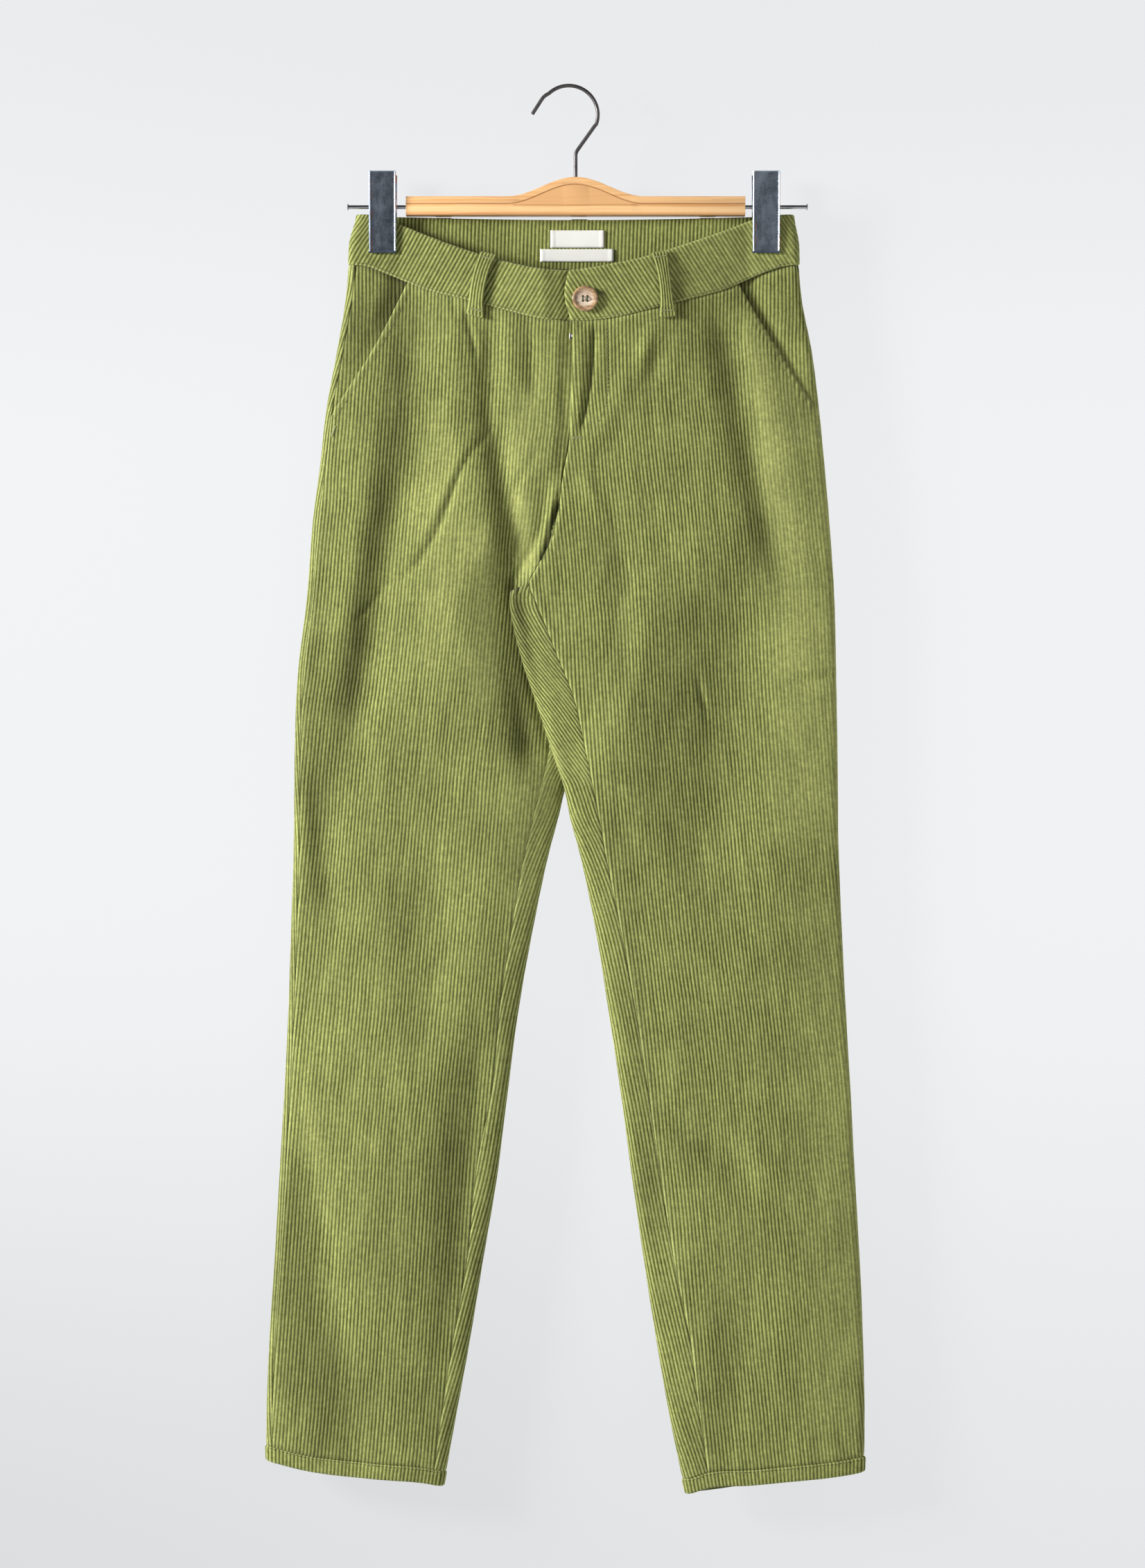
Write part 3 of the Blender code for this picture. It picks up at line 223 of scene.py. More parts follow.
# Narrow creases on top of the troughs by wall: half width, depth and the line each follows in (x, z).
# A ridge has less than 0.
CREASES = {
    "front": (
        (2.2, 1.7, (-98, -165), (-96, -172), (-93, -180)),
        (2.6, 1.6, (-88, -172), (-85, -184), (-80, -200), (-77, -216)),
        (5.0, 1.7, (-35, -186), (-33, -250)), (4.5, -1.1, (57, -188), (50, -236)),
        (6.0, 1.1, (65, -190), (60, -240)),
        (
            2.6, 1.8, (-64, -266), (-76, -281), (-88, -296), (-95, -314), (-101, -333), (-110, -353),
            (-120, -370), (-133, -384), (-155, -395),
        ),
        (4.0, -1.0, (-84, -280), (-106, -325), (-126, -366)),
        (2.6, 1.1, (-30, -286), (-38, -300), (-50, -318)),
        (2.2, 2.3, (14.6, -188), (13.6, -212), (12.0, -234), (8.0, -253), (3.4, -271)),
        (4.0, -1.1, (4.5, -190), (3.6, -230), (1.5, -266)),
        (2.5, 4.8, (-12, -318), (-14.4, -330), (-18.8, -345), (-23.2, -358), (-27.6, -375)),
        (2.6, 1.6, (-150, -395), (-161, -405), (-173, -420)),
        (3.0, 1.4, (95, -462), (99, -480), (104, -496)), (1.6, -0.5, (70, -328), (95, -325), (126, -318)),
        (4.0, 0.9, (-10, -222), (-9, -262)), (7.0, 2.6, (-50, -374), (-41, -405), (-33, -436)),
        (6.0, 1.6, (-38, -430), (-30, -475), (-22, -520)),
        (8.0, -0.6, (-218, -732), (-200, -830), (-169, -1010)),
        (2.4, 2.6, (162, -465), (186, -466), (208, -459)), (3.5, 1.0, (163, -527), (190, -529)),
        (3.5, 0.9, (178, -688), (196, -690), (211, -686)), (2.6, 1.4, (198, -828), (219, -825)),
        (3.6, 1.1, (-162, -1064), (-144, -1074), (-128, -1078)), (3.6, 1.1, (-214, -1042), (-232, -1062)),
        (3.2, 1.1, (110, -1064), (118, -1074), (130, -1084), (147, -1081)),
        (3.6, 1.0, (203, -1056), (218, -1072)),
    ),
    "back": (
        (3.0, 1.2, (-96, -998), (-84, -999)), (4.0, 1.0, (40, -150), (34, -196)),
        (4.0, 1.0, (-44, -150), (-40, -190)), (3.0, 1.1, (-168, -465), (-186, -466), (-200, -458)),
        (3.2, 1.0, (174, -702), (206, -694)), (3.4, 1.0, (-178, -905), (-200, -908), (-222, -900)),
    ),
}
# Painted light and shade on the fronts, in place of the light and shade of their folds and seams: lighter
# above 0, darker below 0, rows as in TROUGHS.
SHADING_PAINT = (
    ((-130, -168), (-146, -320), 14, -0.30), ((-150, -190), (-160, -310), 16, -0.14),
    ((-157, -335), (-183, -490), 12, -0.24), ((-170, -415), (-176, -520), 8, -0.12),
    ((-184, -480), (-200, -650), 18, -0.26), ((-88, -180), (-86, -285), 11, -0.28),
    ((-103, -260), (-106, -440), 23, 0.14), ((-112, -168), (-118, -250), 13, -0.20),
    ((-44, -172), (-43, -232), 9, -0.24), ((-176, -175), (-204, -400), 13, -0.26),
    ((-207, -410), (-214, -560), 13, -0.28), ((-228, -610), (-238, -960), 13, -0.18),
    ((-74, -350), (-70, -475), 13, 0.36), ((-44, -325), (-40, -374), 8, 0.50),
    ((-32, -240), (-38, -300), 20, 0.10), ((-64, -190), (-62, -280), 8, -0.16),
    ((-40, -215), (-44, -290), 14, 0.10), ((-9, -190), (-8, -290), 5, 0.14),
    ((-66, -290), (-54, -372), 8, -0.22), ((-52, -385), (-41, -520), 9, -0.42),
    ((-38, -540), (-44, -635), 16, 0.26), ((-20, -525), (-22, -570), 8, 0.30),
    ((112, -190), (142, -350), 11, -0.06), ((138, -180), (158, -330), 9, 0.22),
    ((100, -410), (66, -580), 34, -0.14), ((168, -220), (184, -580), 26, 0.34),
    ((200, -260), (214, -600), 12, 0.36), ((212, -640), (222, -1000), 10, 0.20),
    ((26, -335), (33, -465), 9, -0.24), ((166, -165), (177, -225), 9, -0.16),
    ((190, -640), (206, -1060), 24, 0.20), ((-94, -790), (-96, -980), 24, -0.28),
    ((-214, -800), (-200, -880), 10, 0.10), ((-220, -880), (-216, -1020), 22, -0.22),
    ((-192, -1000), (-182, -1090), 46, -0.22), ((42, -640), (60, -910), 12, -0.26),
    ((118, -880), (122, -960), 16, 0.08), ((112, -1010), (116, -1060), 24, -0.10),
    ((144, -1005), (150, -1070), 14, -0.18), ((-14.6, -328), (-26.6, -370), 2.8, -0.85),
    ((14.4, -190), (12.4, -236), 2.2, -0.36), ((10.5, -243), (4.5, -268), 2.2, -0.26),
    ((172, -463), (204, -459), 2.2, -0.22),
)


# ---- the form of the garment
def ease(t):
    """0 to 1 with level ends."""
    t = np.clip(t, 0, 1)
    return t * t * (3 - 2 * t)


def swell(t):
    """0 to 1, steep at first and level at the end."""
    return 1 - (1 - np.clip(t, 0, 1)) ** 2


def rounded(distance):
    """A quarter circle from an edge, as cloth turns round a fold."""
    return np.sqrt(1 - (1 - np.clip(distance / FOLD_REACH, 0, 1)) ** 2)


def bell(distance, width):
    """1 in the middle of a line, falling away over a width on both sides."""
    return np.exp(-((distance / width) ** 2))


def name_of(side):
    return "left" if side < 0 else "right"


def trough(rows, x, z):
    """Depth at a point of a wall of all the troughs of a table."""
    total = np.zeros(np.broadcast(x, z).shape)
    for (xa, za), (xb, zb), width, depth in rows:
        run = math.hypot(xb - xa, zb - za)
        along = ((x - xa) * (xb - xa) + (z - za) * (zb - za)) / run
        across = ((x - xa) * (zb - za) - (z - za) * (xb - xa)) / run
        fade = ease((along + 2 * width) / (3 * width)) * ease((run + 2 * width - along) / (3 * width))
        total = total + depth * fade * bell(across, width)
    return total


def wall_depth(side, wall, x, z):
    """Depth (y) of one side's front or back wall before it is joined to the other side's."""
    out = side * SIDES(name_of(side), z)
    fold = side * FOLDS(name_of(side), z)
    other = side * FOLDS(name_of(-side), z)
    reach = side * x
    start = np.maximum(fold, other)
    facing = -1 if wall == "front" else 1
    full = DEPTHS(wall, z) - EDGE
    flat = 41 * ease((z + 260) / 110)
    across = swell((out - reach - flat) / (80 + 60 * ease((z + 260) / 110)))
    leg = EDGE * rounded(out - reach) * rounded(reach - fold)
    leg = leg + full * across * swell((reach - start) / 60)
    apart = LEAN * (1 - ease((reach - start) / 45)) * ease((z + 660) / 95)
    leg = -side * apart + facing * leg
    body = facing * (EDGE * rounded(out - reach) + full * across)
    share = ease((z - CROTCH) / 105)
    calm = ease((reach - start - 4) / 24 + 2 * share) * ease((out - reach) / 18)
    return leg + share * (body - leg) - facing * trough(TROUGHS[wall], x, z) * calm


def depth(side, wall, x, z):
    """Depth (y) of a wall, brought to the other side's depth along the centre seam."""
    own = wall_depth(side, wall, x, z)
    if wall == "front" and side < 0:
        seam = np.where(z > CROTCH, RISES("front", z), INSEAMS("left", z))
        near = 1 - ease((seam - x) / 14)
        held = ease((z - CROTCH + 11) / 11)
        step = 2.4 * ease((z - FLY_END + 38) / 14) + 0.3
        under = step + 1.9 * (1 - ease((z - CROTCH) / 6))
        target = wall_depth(1, "front", seam, z) + under
        return own + near * held * (target - own)
    if wall == "back" and side > 0:
        seam = RISES("back", z)
        near = (1 - ease((x - seam) / 16)) * (x > seam - 0.4)
        held = ease((z - FORK + 12) / 12)
        return own + near * held * (wall_depth(-1, "back", seam, z) - own)
    return own


def softened(route):
    """A line of (x, z) points with its corners cut off twice."""
    route = np.array(route, float)
    for _ in range(2):
        early, late = route[:-1] * 0.75 + route[1:] * 0.25, route[:-1] * 0.25 + route[1:] * 0.75
        route = np.concatenate([route[:1], np.stack([early, late], axis=1).reshape(-1, 2), route[-1:]])
    return route


def from_route(route, x, z):
    """Distance of points from a line of (x, z) points, and how far they are from its nearer end along it."""
    steps = np.linalg.norm(np.diff(route, axis=0), axis=1)
    nearest, place_on, run = np.full(x.shape, np.inf), np.zeros(x.shape), 0.0
    for (xa, za), (xb, zb), step in zip(route, route[1:], steps):
        part = np.clip(((x - xa) * (xb - xa) + (z - za) * (zb - za)) / step**2, 0, 1)
        distance = np.hypot(x - xa - part * (xb - xa), z - za - part * (zb - za))
        place_on = np.where(distance < nearest, run + part * step, place_on)
        nearest = np.minimum(distance, nearest)
        run += step
    return nearest, np.minimum(place_on, run - place_on)


def crease(wall, x, z):
    """Depth at a point of a wall of all the creases."""
    total = np.zeros(x.shape)
    for width, depth, *route in CREASES[wall]:
        distance, run = from_route(softened(route), x, z)
        total += depth * (0.25 + 0.75 * ease(run / (4 * width))) * bell(distance, width)
    return total


LEVEL = 2.0  # height between two of the sections below
HEIGHTS = np.arange(LEG_END, WAIST_TOP + LEVEL + 1, LEVEL)
TURN = np.linspace(0, np.pi / 2, 14)


class Rails:
    """Sections of one wall of one side: arc length from the outer edge, x and y at every height."""

    def __init__(self, side, wall):
        z = HEIGHTS[:, None]
        out = side * SIDES(name_of(side), z)
        closed = z <= CROTCH
        end = np.where(closed, side * FOLDS(name_of(side), z), side * RISES(wall, z) - 30)
        first = out - FOLD_REACH * (1 - np.cos(TURN))
        last = end + np.where(closed, FOLD_REACH, 1e-4) * (1 - np.cos(TURN[::-1]))
        share = np.linspace(0, 1, 160)[1:-1]
        middle = first[:, -1:] + (last[:, :1] - first[:, -1:]) * share
        self.x = side * np.concatenate([first, middle, last], axis=1)
        self.y = depth(side, wall, self.x, z + 0 * self.x)
        plain = wall_depth(side, wall, self.x, z + 0 * self.x)
        steps = np.hypot(np.diff(self.x), np.diff(plain))
        self.arc = np.concatenate([np.zeros_like(z), np.cumsum(steps, axis=1)], axis=1)
        self.side = side

    def arcs_at(self, x):
        """Arc length at every height of the points with these x."""
        x = np.broadcast_to(x, HEIGHTS.shape)
        side, levels = self.side, zip(x, self.x, self.arc)
        return np.array([np.interp(side * at, side * row[::-1], arc[::-1]) for at, row, arc in levels])


def grain_column(side, wall):
    return "right_back" if (side, wall) == (1, "back") else name_of(side)


RAILS = {(side, wall): Rails(side, wall) for side in (-1, 1) for wall in ("front", "back")}
# Arc length of the rib that the others are counted from.
GRAIN = {
    (side, wall): rails.arcs_at(side * GRAIN_LINE(grain_column(side, wall), HEIGHTS))
    for (side, wall), rails in RAILS.items()
}


def grain(side, wall, z):
    return np.interp(z, HEIGHTS, GRAIN[side, wall])


def arc_of(side, wall, x, z):
    """Arc length from the outer edge to the points of a wall at x and z."""
    rails = RAILS[side, wall]
    x, z = np.broadcast_arrays(np.asarray(x, float), np.asarray(z, float))
    spot = np.clip((z - LEG_END) / LEVEL, 0, len(HEIGHTS) - 1.001)
    lower, out = np.floor(spot).astype(int), np.empty(z.shape)
    for at in np.ndindex(z.shape):
        k, part = lower[at], spot[at] - lower[at]
        a, b = (np.interp(side * x[at], side * rails.x[i, ::-1], rails.arc[i, ::-1]) for i in (k, k + 1))
        out[at] = a + part * (b - a)
    return out


def rail_end(side, wall, z):
    return np.interp(z, HEIGHTS, RAILS[side, wall].arc[:, -1])


def on_level(side, wall, arc, level):
    """x and y at arc lengths along a section. Past either fold it goes on along the other wall."""
    rails, other = RAILS[side, wall], RAILS[side, "front" if wall == "back" else "back"]
    lengths = rails.arc[level]
    x, y = np.interp(arc, lengths, rails.x[level]), np.interp(arc, lengths, rails.y[level])
    past = (arc > lengths[-1]) & (HEIGHTS[level] <= CROTCH)
    beyond = past | (arc < 0)
    if beyond.any():
        rest = np.where(past, other.arc[level, -1] - (arc - lengths[-1]), -arc)
        x = np.where(beyond, np.interp(rest, other.arc[level], other.x[level]), x)
        y = np.where(beyond, np.interp(rest, other.arc[level], other.y[level]), y)
    return x, y


def place(side, wall, arc, z):
    """Points of the cloth at arc lengths from the outer edge and heights."""
    arc, z = np.broadcast_arrays(np.asarray(arc, float), np.asarray(z, float))
    shape, arc, z = arc.shape, arc.ravel(), z.ravel()
    spot = np.clip((z - LEG_END) / LEVEL, 0, len(HEIGHTS) - 1)
    lower = np.minimum(np.floor(spot + 1e-9).astype(int), len(HEIGHTS) - 2)
    part = spot - lower
    order = np.argsort(lower, kind="stable")
    cuts = np.flatnonzero(np.diff(lower[order])) + 1
    out = np.empty((len(z), 3))
    out[:, 2] = z
    for here in np.split(order, cuts):
        level = lower[here[0]]
        xa, ya = on_level(side, wall, arc[here], level)
        xb, yb = on_level(side, wall, arc[here], level + 1)
        out[here, 0] = xa + part[here] * (xb - xa)
        out[here, 1] = ya + part[here] * (yb - ya)
    return out.reshape(shape + (3,))


def outward(side, wall, arc, z):
    """Unit normals of the cloth, pointing away from the hollow."""
    step = 1.0
    across = place(side, wall, arc + step, z) - place(side, wall, arc - step, z)
    up = place(side, wall, arc, z + 2 * step) - place(side, wall, arc, z - 2 * step)
    normal = np.cross(across, up) * (side if wall == "back" else -side)
    return normal / np.maximum(np.linalg.norm(normal, axis=-1, keepdims=True), 1e-9)


def skin(wall, x, z):
    """Points and outward normals of a wall at any x and z."""
    x, z = np.broadcast_arrays(np.asarray(x, float), np.asarray(z, float))

    def read(x, z):
        return np.where(x > RISES(wall, z), depth(1, wall, x, z), depth(-1, wall, x, z))

    y, run = read(x, z), 1.5
    slope_x = (read(x + run, z) - read(x - run, z)) / (2 * run)
    slope_z = (read(x, z + run) - read(x, z - run)) / (2 * run)
    facing = -1 if wall == "front" else 1
    normal = np.stack([-facing * slope_x, np.full_like(y, facing), -facing * slope_z], axis=-1)
    return np.stack([x, y, z], axis=-1), normal / np.linalg.norm(normal, axis=-1, keepdims=True)


def soft_noise(seed, cell_x, cell_z, x, z):
    """Smooth random relief from -1 to 1 on a grid of cells, the same on every run."""
    grid = np.random.default_rng(seed).uniform(-1, 1, (160, 160))
    u, v = x / cell_x + 60.37, z / cell_z + 140.71
    i, j = np.floor(u).astype(int), np.floor(v).astype(int)
    s, t = ease(u - i), ease(v - j)
    a, b = grid[i % 160, j % 160], grid[(i + 1) % 160, j % 160]
    c, d = grid[i % 160, (j + 1) % 160], grid[(i + 1) % 160, (j + 1) % 160]
    return a + s * (b - a) + t * (c - a + s * (a - b - c + d))


# ---- ribbed cloth
RIB = 2.88  # width of one rib with its groove
BAND_RIB = 3.08  # the same on the fronts of the waistband
BACK_BAND_RIB = 2.97  # and on its back
RIB_STEPS = 4  # columns of the mesh to a rib
RIDGE = 0.15  # height of a rib over its grooves
HEM_PROUD = 0.9
ROW = 4.6  # height of a row of the mesh


def rib_height(ribs):
    """0 in a groove and 1 on a crest, for a place counted in ribs."""
    return np.sin(np.pi * ribs) ** 2


class Weave:
    """A grid of points on the cloth: rows from the top down, columns along the ribs' lines.

    Row i is used from column first[i] to column last[i]. Beyond them the columns lie on the edge.
    """

    def __init__(self, points, normals, ribs, down, first=None, last=None):
        rows, columns = points.shape[:2]
        self.points, self.normals, self.ribs, self.down = points, normals, ribs, down
        self.first = np.zeros(rows, int) if first is None else first
        self.last = np.full(rows, columns - 1) if last is None else last
        self.lift = np.zeros((rows, columns))
        self.back = np.zeros((rows, columns))
        self.wear = np.zeros((rows, columns))
        # Painted light and shade: lighter above 0, darker below 0.
        self.nap = np.zeros((rows, columns))

    def ridge(self, height):
        """Raises the ribs."""
        self.lift += (rib_height(self.ribs) - 0.5) * height
        return self

    def from_ends(self):
        """Distance of each point from the ends of its row, in millimetres."""
        rows = np.arange(len(self.first))
        step = np.linalg.norm(np.diff(self.points, axis=1), axis=-1)
        run = np.concatenate([np.zeros((len(rows), 1)), np.cumsum(step, axis=1)], axis=1)
        return run - run[rows, self.first][:, None], run[rows, self.last][:, None] - run

    def from_rims(self):
        """Distance of each point from the first and the last row."""
        step = np.linalg.norm(np.diff(self.points, axis=0), axis=-1)
        run = np.concatenate([np.zeros((1, step.shape[1])), np.cumsum(step, axis=0)], axis=0)
        return run, run[-1:] - run

    def from_edge(self):
        """Distance of each point from the nearest edge of the cloth."""
        return np.minimum(*map(np.minimum, self.from_ends(), self.from_rims()))


def linked(name, data):
    """A new object of the scene for a mesh, a light or a camera."""
    made = bpy.data.objects.new(name, data)
    bpy.context.scene.collection.objects.link(made)
    return made


def mesh_object(name, points, rings, finish, uv=None, **spread):
    """A mesh object in metres from points in millimetres and rings of corner numbers.

    Each further value is spread over the points as an attribute of its own name.
    """
    mesh = bpy.data.meshes.new(name)
    sizes = np.fromiter((len(r) for r in rings), int, len(rings)) if isinstance(rings, list) else None
    if sizes is None:
        sizes, corners = rings
    else:
        corners = np.fromiter((v for r in rings for v in r), int)
    used, corners = np.unique(corners, return_inverse=True)
    mesh.vertices.add(len(used))
    mesh.vertices.foreach_set("co", (points[used] * MM).astype(np.float32).ravel())
    mesh.loops.add(len(corners))
    mesh.loops.foreach_set("vertex_index", corners.astype(np.int32).ravel())
    mesh.polygons.add(len(sizes))
    starts = np.concatenate([[0], np.cumsum(sizes)[:-1]])
    mesh.polygons.foreach_set("loop_start", starts.astype(np.int32))
    mesh.polygons.foreach_set("loop_total", sizes.astype(np.int32))
    mesh.polygons.foreach_set("use_smooth", np.ones(len(sizes), bool))
    if uv is not None:
        layer = mesh.uv_layers.new(name="UVMap")
        layer.data.foreach_set("uv", uv[used][corners].astype(np.float32).ravel())
    for key, values in spread.items():
        mesh.attributes.new(key, "FLOAT", "POINT").data.foreach_set("value", values[used].astype(np.float32))
    mesh.update(calc_edges=True)
    mesh.validate()
    mesh.materials.append(bpy.data.materials[finish])
    return linked(name, mesh)


def woven(name, weave, thickness, loop=False, coarse=16, flip=False, inside_plain=True, finish="corduroy"):
    """Closed cloth from a weave: ribbed outside, plain inside, joined round its edges."""
    rows, columns = weave.points.shape[:2]
    outer = weave.points + weave.normals * weave.lift[..., None]
    inner = weave.points + weave.normals * (weave.back - thickness)[..., None]
    count = rows * columns
    row = np.arange(rows)[:, None] * columns

    def numbers(chosen):
        return row + np.clip(chosen[None, :], weave.first[:, None], weave.last[:, None])

    fine = numbers(np.arange(columns))
    few = numbers(np.unique(np.append(np.arange(0, columns, coarse), columns - 1))) + count
    if loop:
        fine = np.concatenate([fine, fine[:, :1]], axis=1)
        few = np.concatenate([few, few[:, :1]], axis=1)

    def patch(ids, turned):
        ring = np.stack([ids[:-1, :-1], ids[:-1, 1:], ids[1:, 1:], ids[1:, :-1]], axis=-1).reshape(-1, 4)
        ring = ring[:, ::-1] if turned else ring
        same = ring == np.roll(ring, -1, axis=1)
        whole = ring[same.sum(1) == 0]
        part = ring[same.sum(1) == 1]
        return whole, part[~same[same.sum(1) == 1]].reshape(-1, 3)

    quads, corners = [], []
    for ids, turned in ((fine, flip), (few, not flip)):
        whole, part = patch(ids, turned)
        quads.append(whole)
        corners.append(part)
    rim = []
    if not loop:
        for outer_edge, inner_edge, turned in (
            (fine[:, 0], few[:, 0], flip),
            (fine[:, -1], few[:, -1], not flip),
        ):
            ring = np.stack([outer_edge[:-1], outer_edge[1:], inner_edge[1:], inner_edge[:-1]], axis=-1)
            quads.append(ring[:, ::-1] if turned else ring)
    for i, turned in ((0, flip), (rows - 1, not flip)):
        for a, b in zip(few[i][:-1], few[i][1:]):
            if a == b:
                continue
            start, stop = int(a - count - i * columns), int(b - count - i * columns)
            run = range(start, stop + 1) if stop > start else [*range(start, columns), *range(0, stop + 1)]
            ring = [i * columns + j for j in run][::-1] + [int(a), int(b)]
            rim.append(ring[::-1] if turned else ring)
    quads, corners = np.concatenate(quads), np.concatenate(corners)
    sizes = np.concatenate([np.full(len(quads), 4), np.full(len(corners), 3), [len(r) for r in rim]])
    flat = np.concatenate([quads.ravel(), corners.ravel(), [v for r in rim for v in r]]).astype(int)
    points = np.concatenate([outer.reshape(-1, 3), inner.reshape(-1, 3)])
    uv = np.stack([weave.ribs, weave.down / RIB], axis=-1).reshape(-1, 2)
    wear, nap = weave.wear.ravel(), weave.nap.ravel()
    inside = np.full_like(wear, -1.0) if inside_plain else wear
    return mesh_object(
        name, points, (sizes.astype(int), flat), finish, np.concatenate([uv, uv]),
        wear=np.concatenate([wear, inside]), nap=np.concatenate([nap, nap]),
    )


# ---- the cut of the panels
# Line of stitching that holds the fly's inside.
FLY_STITCH = ((25.0, -188.5), (25.2, -238.0), (23.6, -250.0), (20.6, -260.0), (16.0, -267.5), (10.8, -272.5))
POCKET_STITCH = 5.4  # distance of the stitching from a pocket mouth
FRONT_TOP, BACK_TOP, LEG_LOW = -186.0, -142.0, -1087.0  # heights of the panels' first and last rows


def bent(level, top, low, first):
    """A row's height, bent to the waistband at the top and to the hem below."""
    level = level + (top - first) * ease(1 - (first - level) / 190)
    return level + (low - LEG_LOW) * ease(1 - (level - LEG_LOW) / 190)


def front_height(level, x):
    top = WAIST("front_seam", x) - SEAM
    return bent(level, top, HEMS("front", x) + HEM_DEPTH + SEAM, FRONT_TOP)


def back_height(level, x, on_front):
    top = np.where(on_front, WAIST("front_seam", x), WAIST("back_seam", x)) - SEAM
    low = np.where(on_front, HEMS("front", x), HEMS("back", x)) + HEM_DEPTH + SEAM
    return bent(level, top, low, BACK_TOP)


def front_ends(side, levels):
    """Arc lengths where each row of a front starts, at the side seam or pocket, and ends."""
    name, outer, inner = name_of(side), levels, levels
    for _ in range(4):
        seam = np.where(inner >= CROTCH, RISES("front", inner), INSEAMS(name, inner))
        end = arc_of(side, "front", seam, inner) - SEAM / 2
        if side < 0:
            end += np.where(inner > FLY_END, UNDERLAP, np.where(inner > CROTCH, -0.3, 0))
        start = np.full_like(levels, OUTER_SEAM[side] + SEAM / 2)
        mouth = arc_of(side, "front", POCKETS(name, outer), outer)
        start = np.where(outer > POCKETS.at[0], np.maximum(start, mouth), start)
        outer = front_height(levels, place(side, "front", start, outer)[:, 0])
        inner = front_height(levels, place(side, "front", end, inner)[:, 0])
    return start, end


def inseam_arc(side, z):
    """Arc length from the outer edge, round the back and the inner fold, to the inside leg seam."""
    z = np.minimum(z, CROTCH)
    around = rail_end(side, "back", z) + rail_end(side, "front", z)
    return around - arc_of(side, "front", INSEAMS(name_of(side), z), z) - SEAM / 2


def back_rows(side):
    """Height at the side seam, height at the far end and far end's arc length of a back's rows."""
    seat = np.arange(BACK_TOP, FORK, -ROW)
    ends = arc_of(side, "back", RISES("back", seat), seat) - SEAM / 2
    rows = list(zip(seat, seat, ends))
    lowest = float(arc_of(side, "back", RISES("back", FORK), FORK)) - SEAM / 2
    crotch = float(inseam_arc(side, np.array([CROTCH]))[0])
    turns = [(FORK, FORK, lowest)]
    if side > 0:
        tip = float(rail_end(side, "back", FORK))
        turns += [(FORK - 2 - 9 * t, FORK, lowest + (tip - lowest) * t) for t in (0.02, 0.32, 0.66, 1.0)]
        turns.append((FORK - 22, (FORK + CROTCH) / 2, (tip + crotch) / 2 - 3.5))
    else:
        for t in (0.3, 0.6, 0.85):
            height = FORK + (CROTCH - FORK) * t**3
            turns.append((FORK - 9 * (1 + 2 * t), height, lowest + (crotch - lowest) * t))
    turns.append((FORK - 33, CROTCH, crotch))
    for a, b in zip(turns, turns[1:]):
        count = int(np.ceil(max((a[0] - b[0]) / ROW, abs(b[2] - a[2]) / 4.0)))
        rows += [tuple(p + (q - p) * k / count for p, q in zip(a, b)) for k in range(count)]
    legs = np.append(np.arange(CROTCH, LEG_LOW, -ROW), LEG_LOW)
    share = (legs - CROTCH) / (LEG_LOW - CROTCH)
    heights = legs
    for _ in range(3):
        ends = inseam_arc(side, heights)
        x = place(side, "back", ends, heights)[:, 0]
        heights = back_height(legs, x, np.full(len(legs), True))
    rows += list(zip(legs - (33 + CROTCH - FORK) * (1 - share) ** 2, legs, ends))
    return np.array(rows).T


def used_columns(arcs, starts, ends):
    """The columns at which each row of a weave starts and ends."""
    inside = (arcs > starts + 0.2) & (arcs < ends - 0.2)
    return np.argmax(inside, axis=1) - 1, inside.shape[1] - np.argmax(inside[:, ::-1], axis=1)


def cut_panel(side, wall, highs, lows, starts, ends, height_of):
    """The weave of a panel: its rows run from the side seam to their far ends."""
    step = RIB / RIB_STEPS
    first_rib = min((starts - grain(side, wall, highs)).min(), (starts - grain(side, wall, lows)).min())
    last_rib = max((ends - grain(side, wall, highs)).max(), (ends - grain(side, wall, lows)).max())
    ribs = np.arange(np.floor(first_rib / step) - 12, np.ceil(last_rib / step) + 12) * step
    starts, ends = starts[:, None], ends[:, None]
    highs, lows = highs[:, None], lows[:, None]
    height = np.broadcast_to(highs, (len(highs), len(ribs)))
    turn_at = rail_end(side, "back", np.minimum(lows, FORK))
    for _ in range(4):
        arcs = np.clip(ribs[None, :] + grain(side, wall, height), starts, ends)
        level = highs + (lows - highs) * ((arcs - starts) / (ends - starts)) ** 3
        x = place(side, wall, arcs, height)[..., 0]
        if wall == "front":
            height = height_of(level, x)
        else:
            height = height_of(level, x, (arcs < 0) | (arcs > turn_at))
    first, last = used_columns(arcs, starts, ends)
    rows = np.arange(len(first))
    arcs[rows, first], arcs[rows, last] = starts[:, 0], ends[:, 0]
    points, normals = place(side, wall, arcs, height), outward(side, wall, arcs, height)
    return Weave(points, normals, (arcs - grain(side, wall, height)) / RIB, -height, first, last)


def rounding(distance, radius, depth):
    """How far cloth drops towards an edge, over a radius."""
    t = 1 - np.clip(distance / radius, 0, 1)
    return -depth * t * t


def surface(weave, side):
    """Soft waves of worn cloth and the narrow creases, with the painted light and shade of the fronts."""
    x, z = weave.points[..., 0], weave.points[..., 2]
    flat = np.clip(np.abs(weave.normals[..., 1]), 0, 1) ** 2
    waves = 0.34 * soft_noise(11 + side, 34, 58, x, z) + 0.20 * soft_noise(23 + side, 13, 26, x, z)
    waves = waves + 0.10 * soft_noise(37 + side, 6, 11, x, z)
    front = weave.normals[..., 1] < 0
    relief = flat * (waves - np.where(front, crease("front", x, z), crease("back", x, z)))
    weave.lift += relief
    weave.back += relief
    free = ease((weave.from_edge() - 3) / 14)
    sway = 0.55 * soft_noise(83 + side, 22, 50, x, z) + 0.16 * soft_noise(87 + side, 8, 15, x, z)
    weave.points[..., 0] = x + flat * free * sway
    # Painted light and shade from the table on the fronts, and the left side painted a little lighter all
    # over.
    weave.nap = np.where(front, trough(SHADING_PAINT, x, z), 0.0) + (0.04 if side < 0 else 0.0)
    return weave


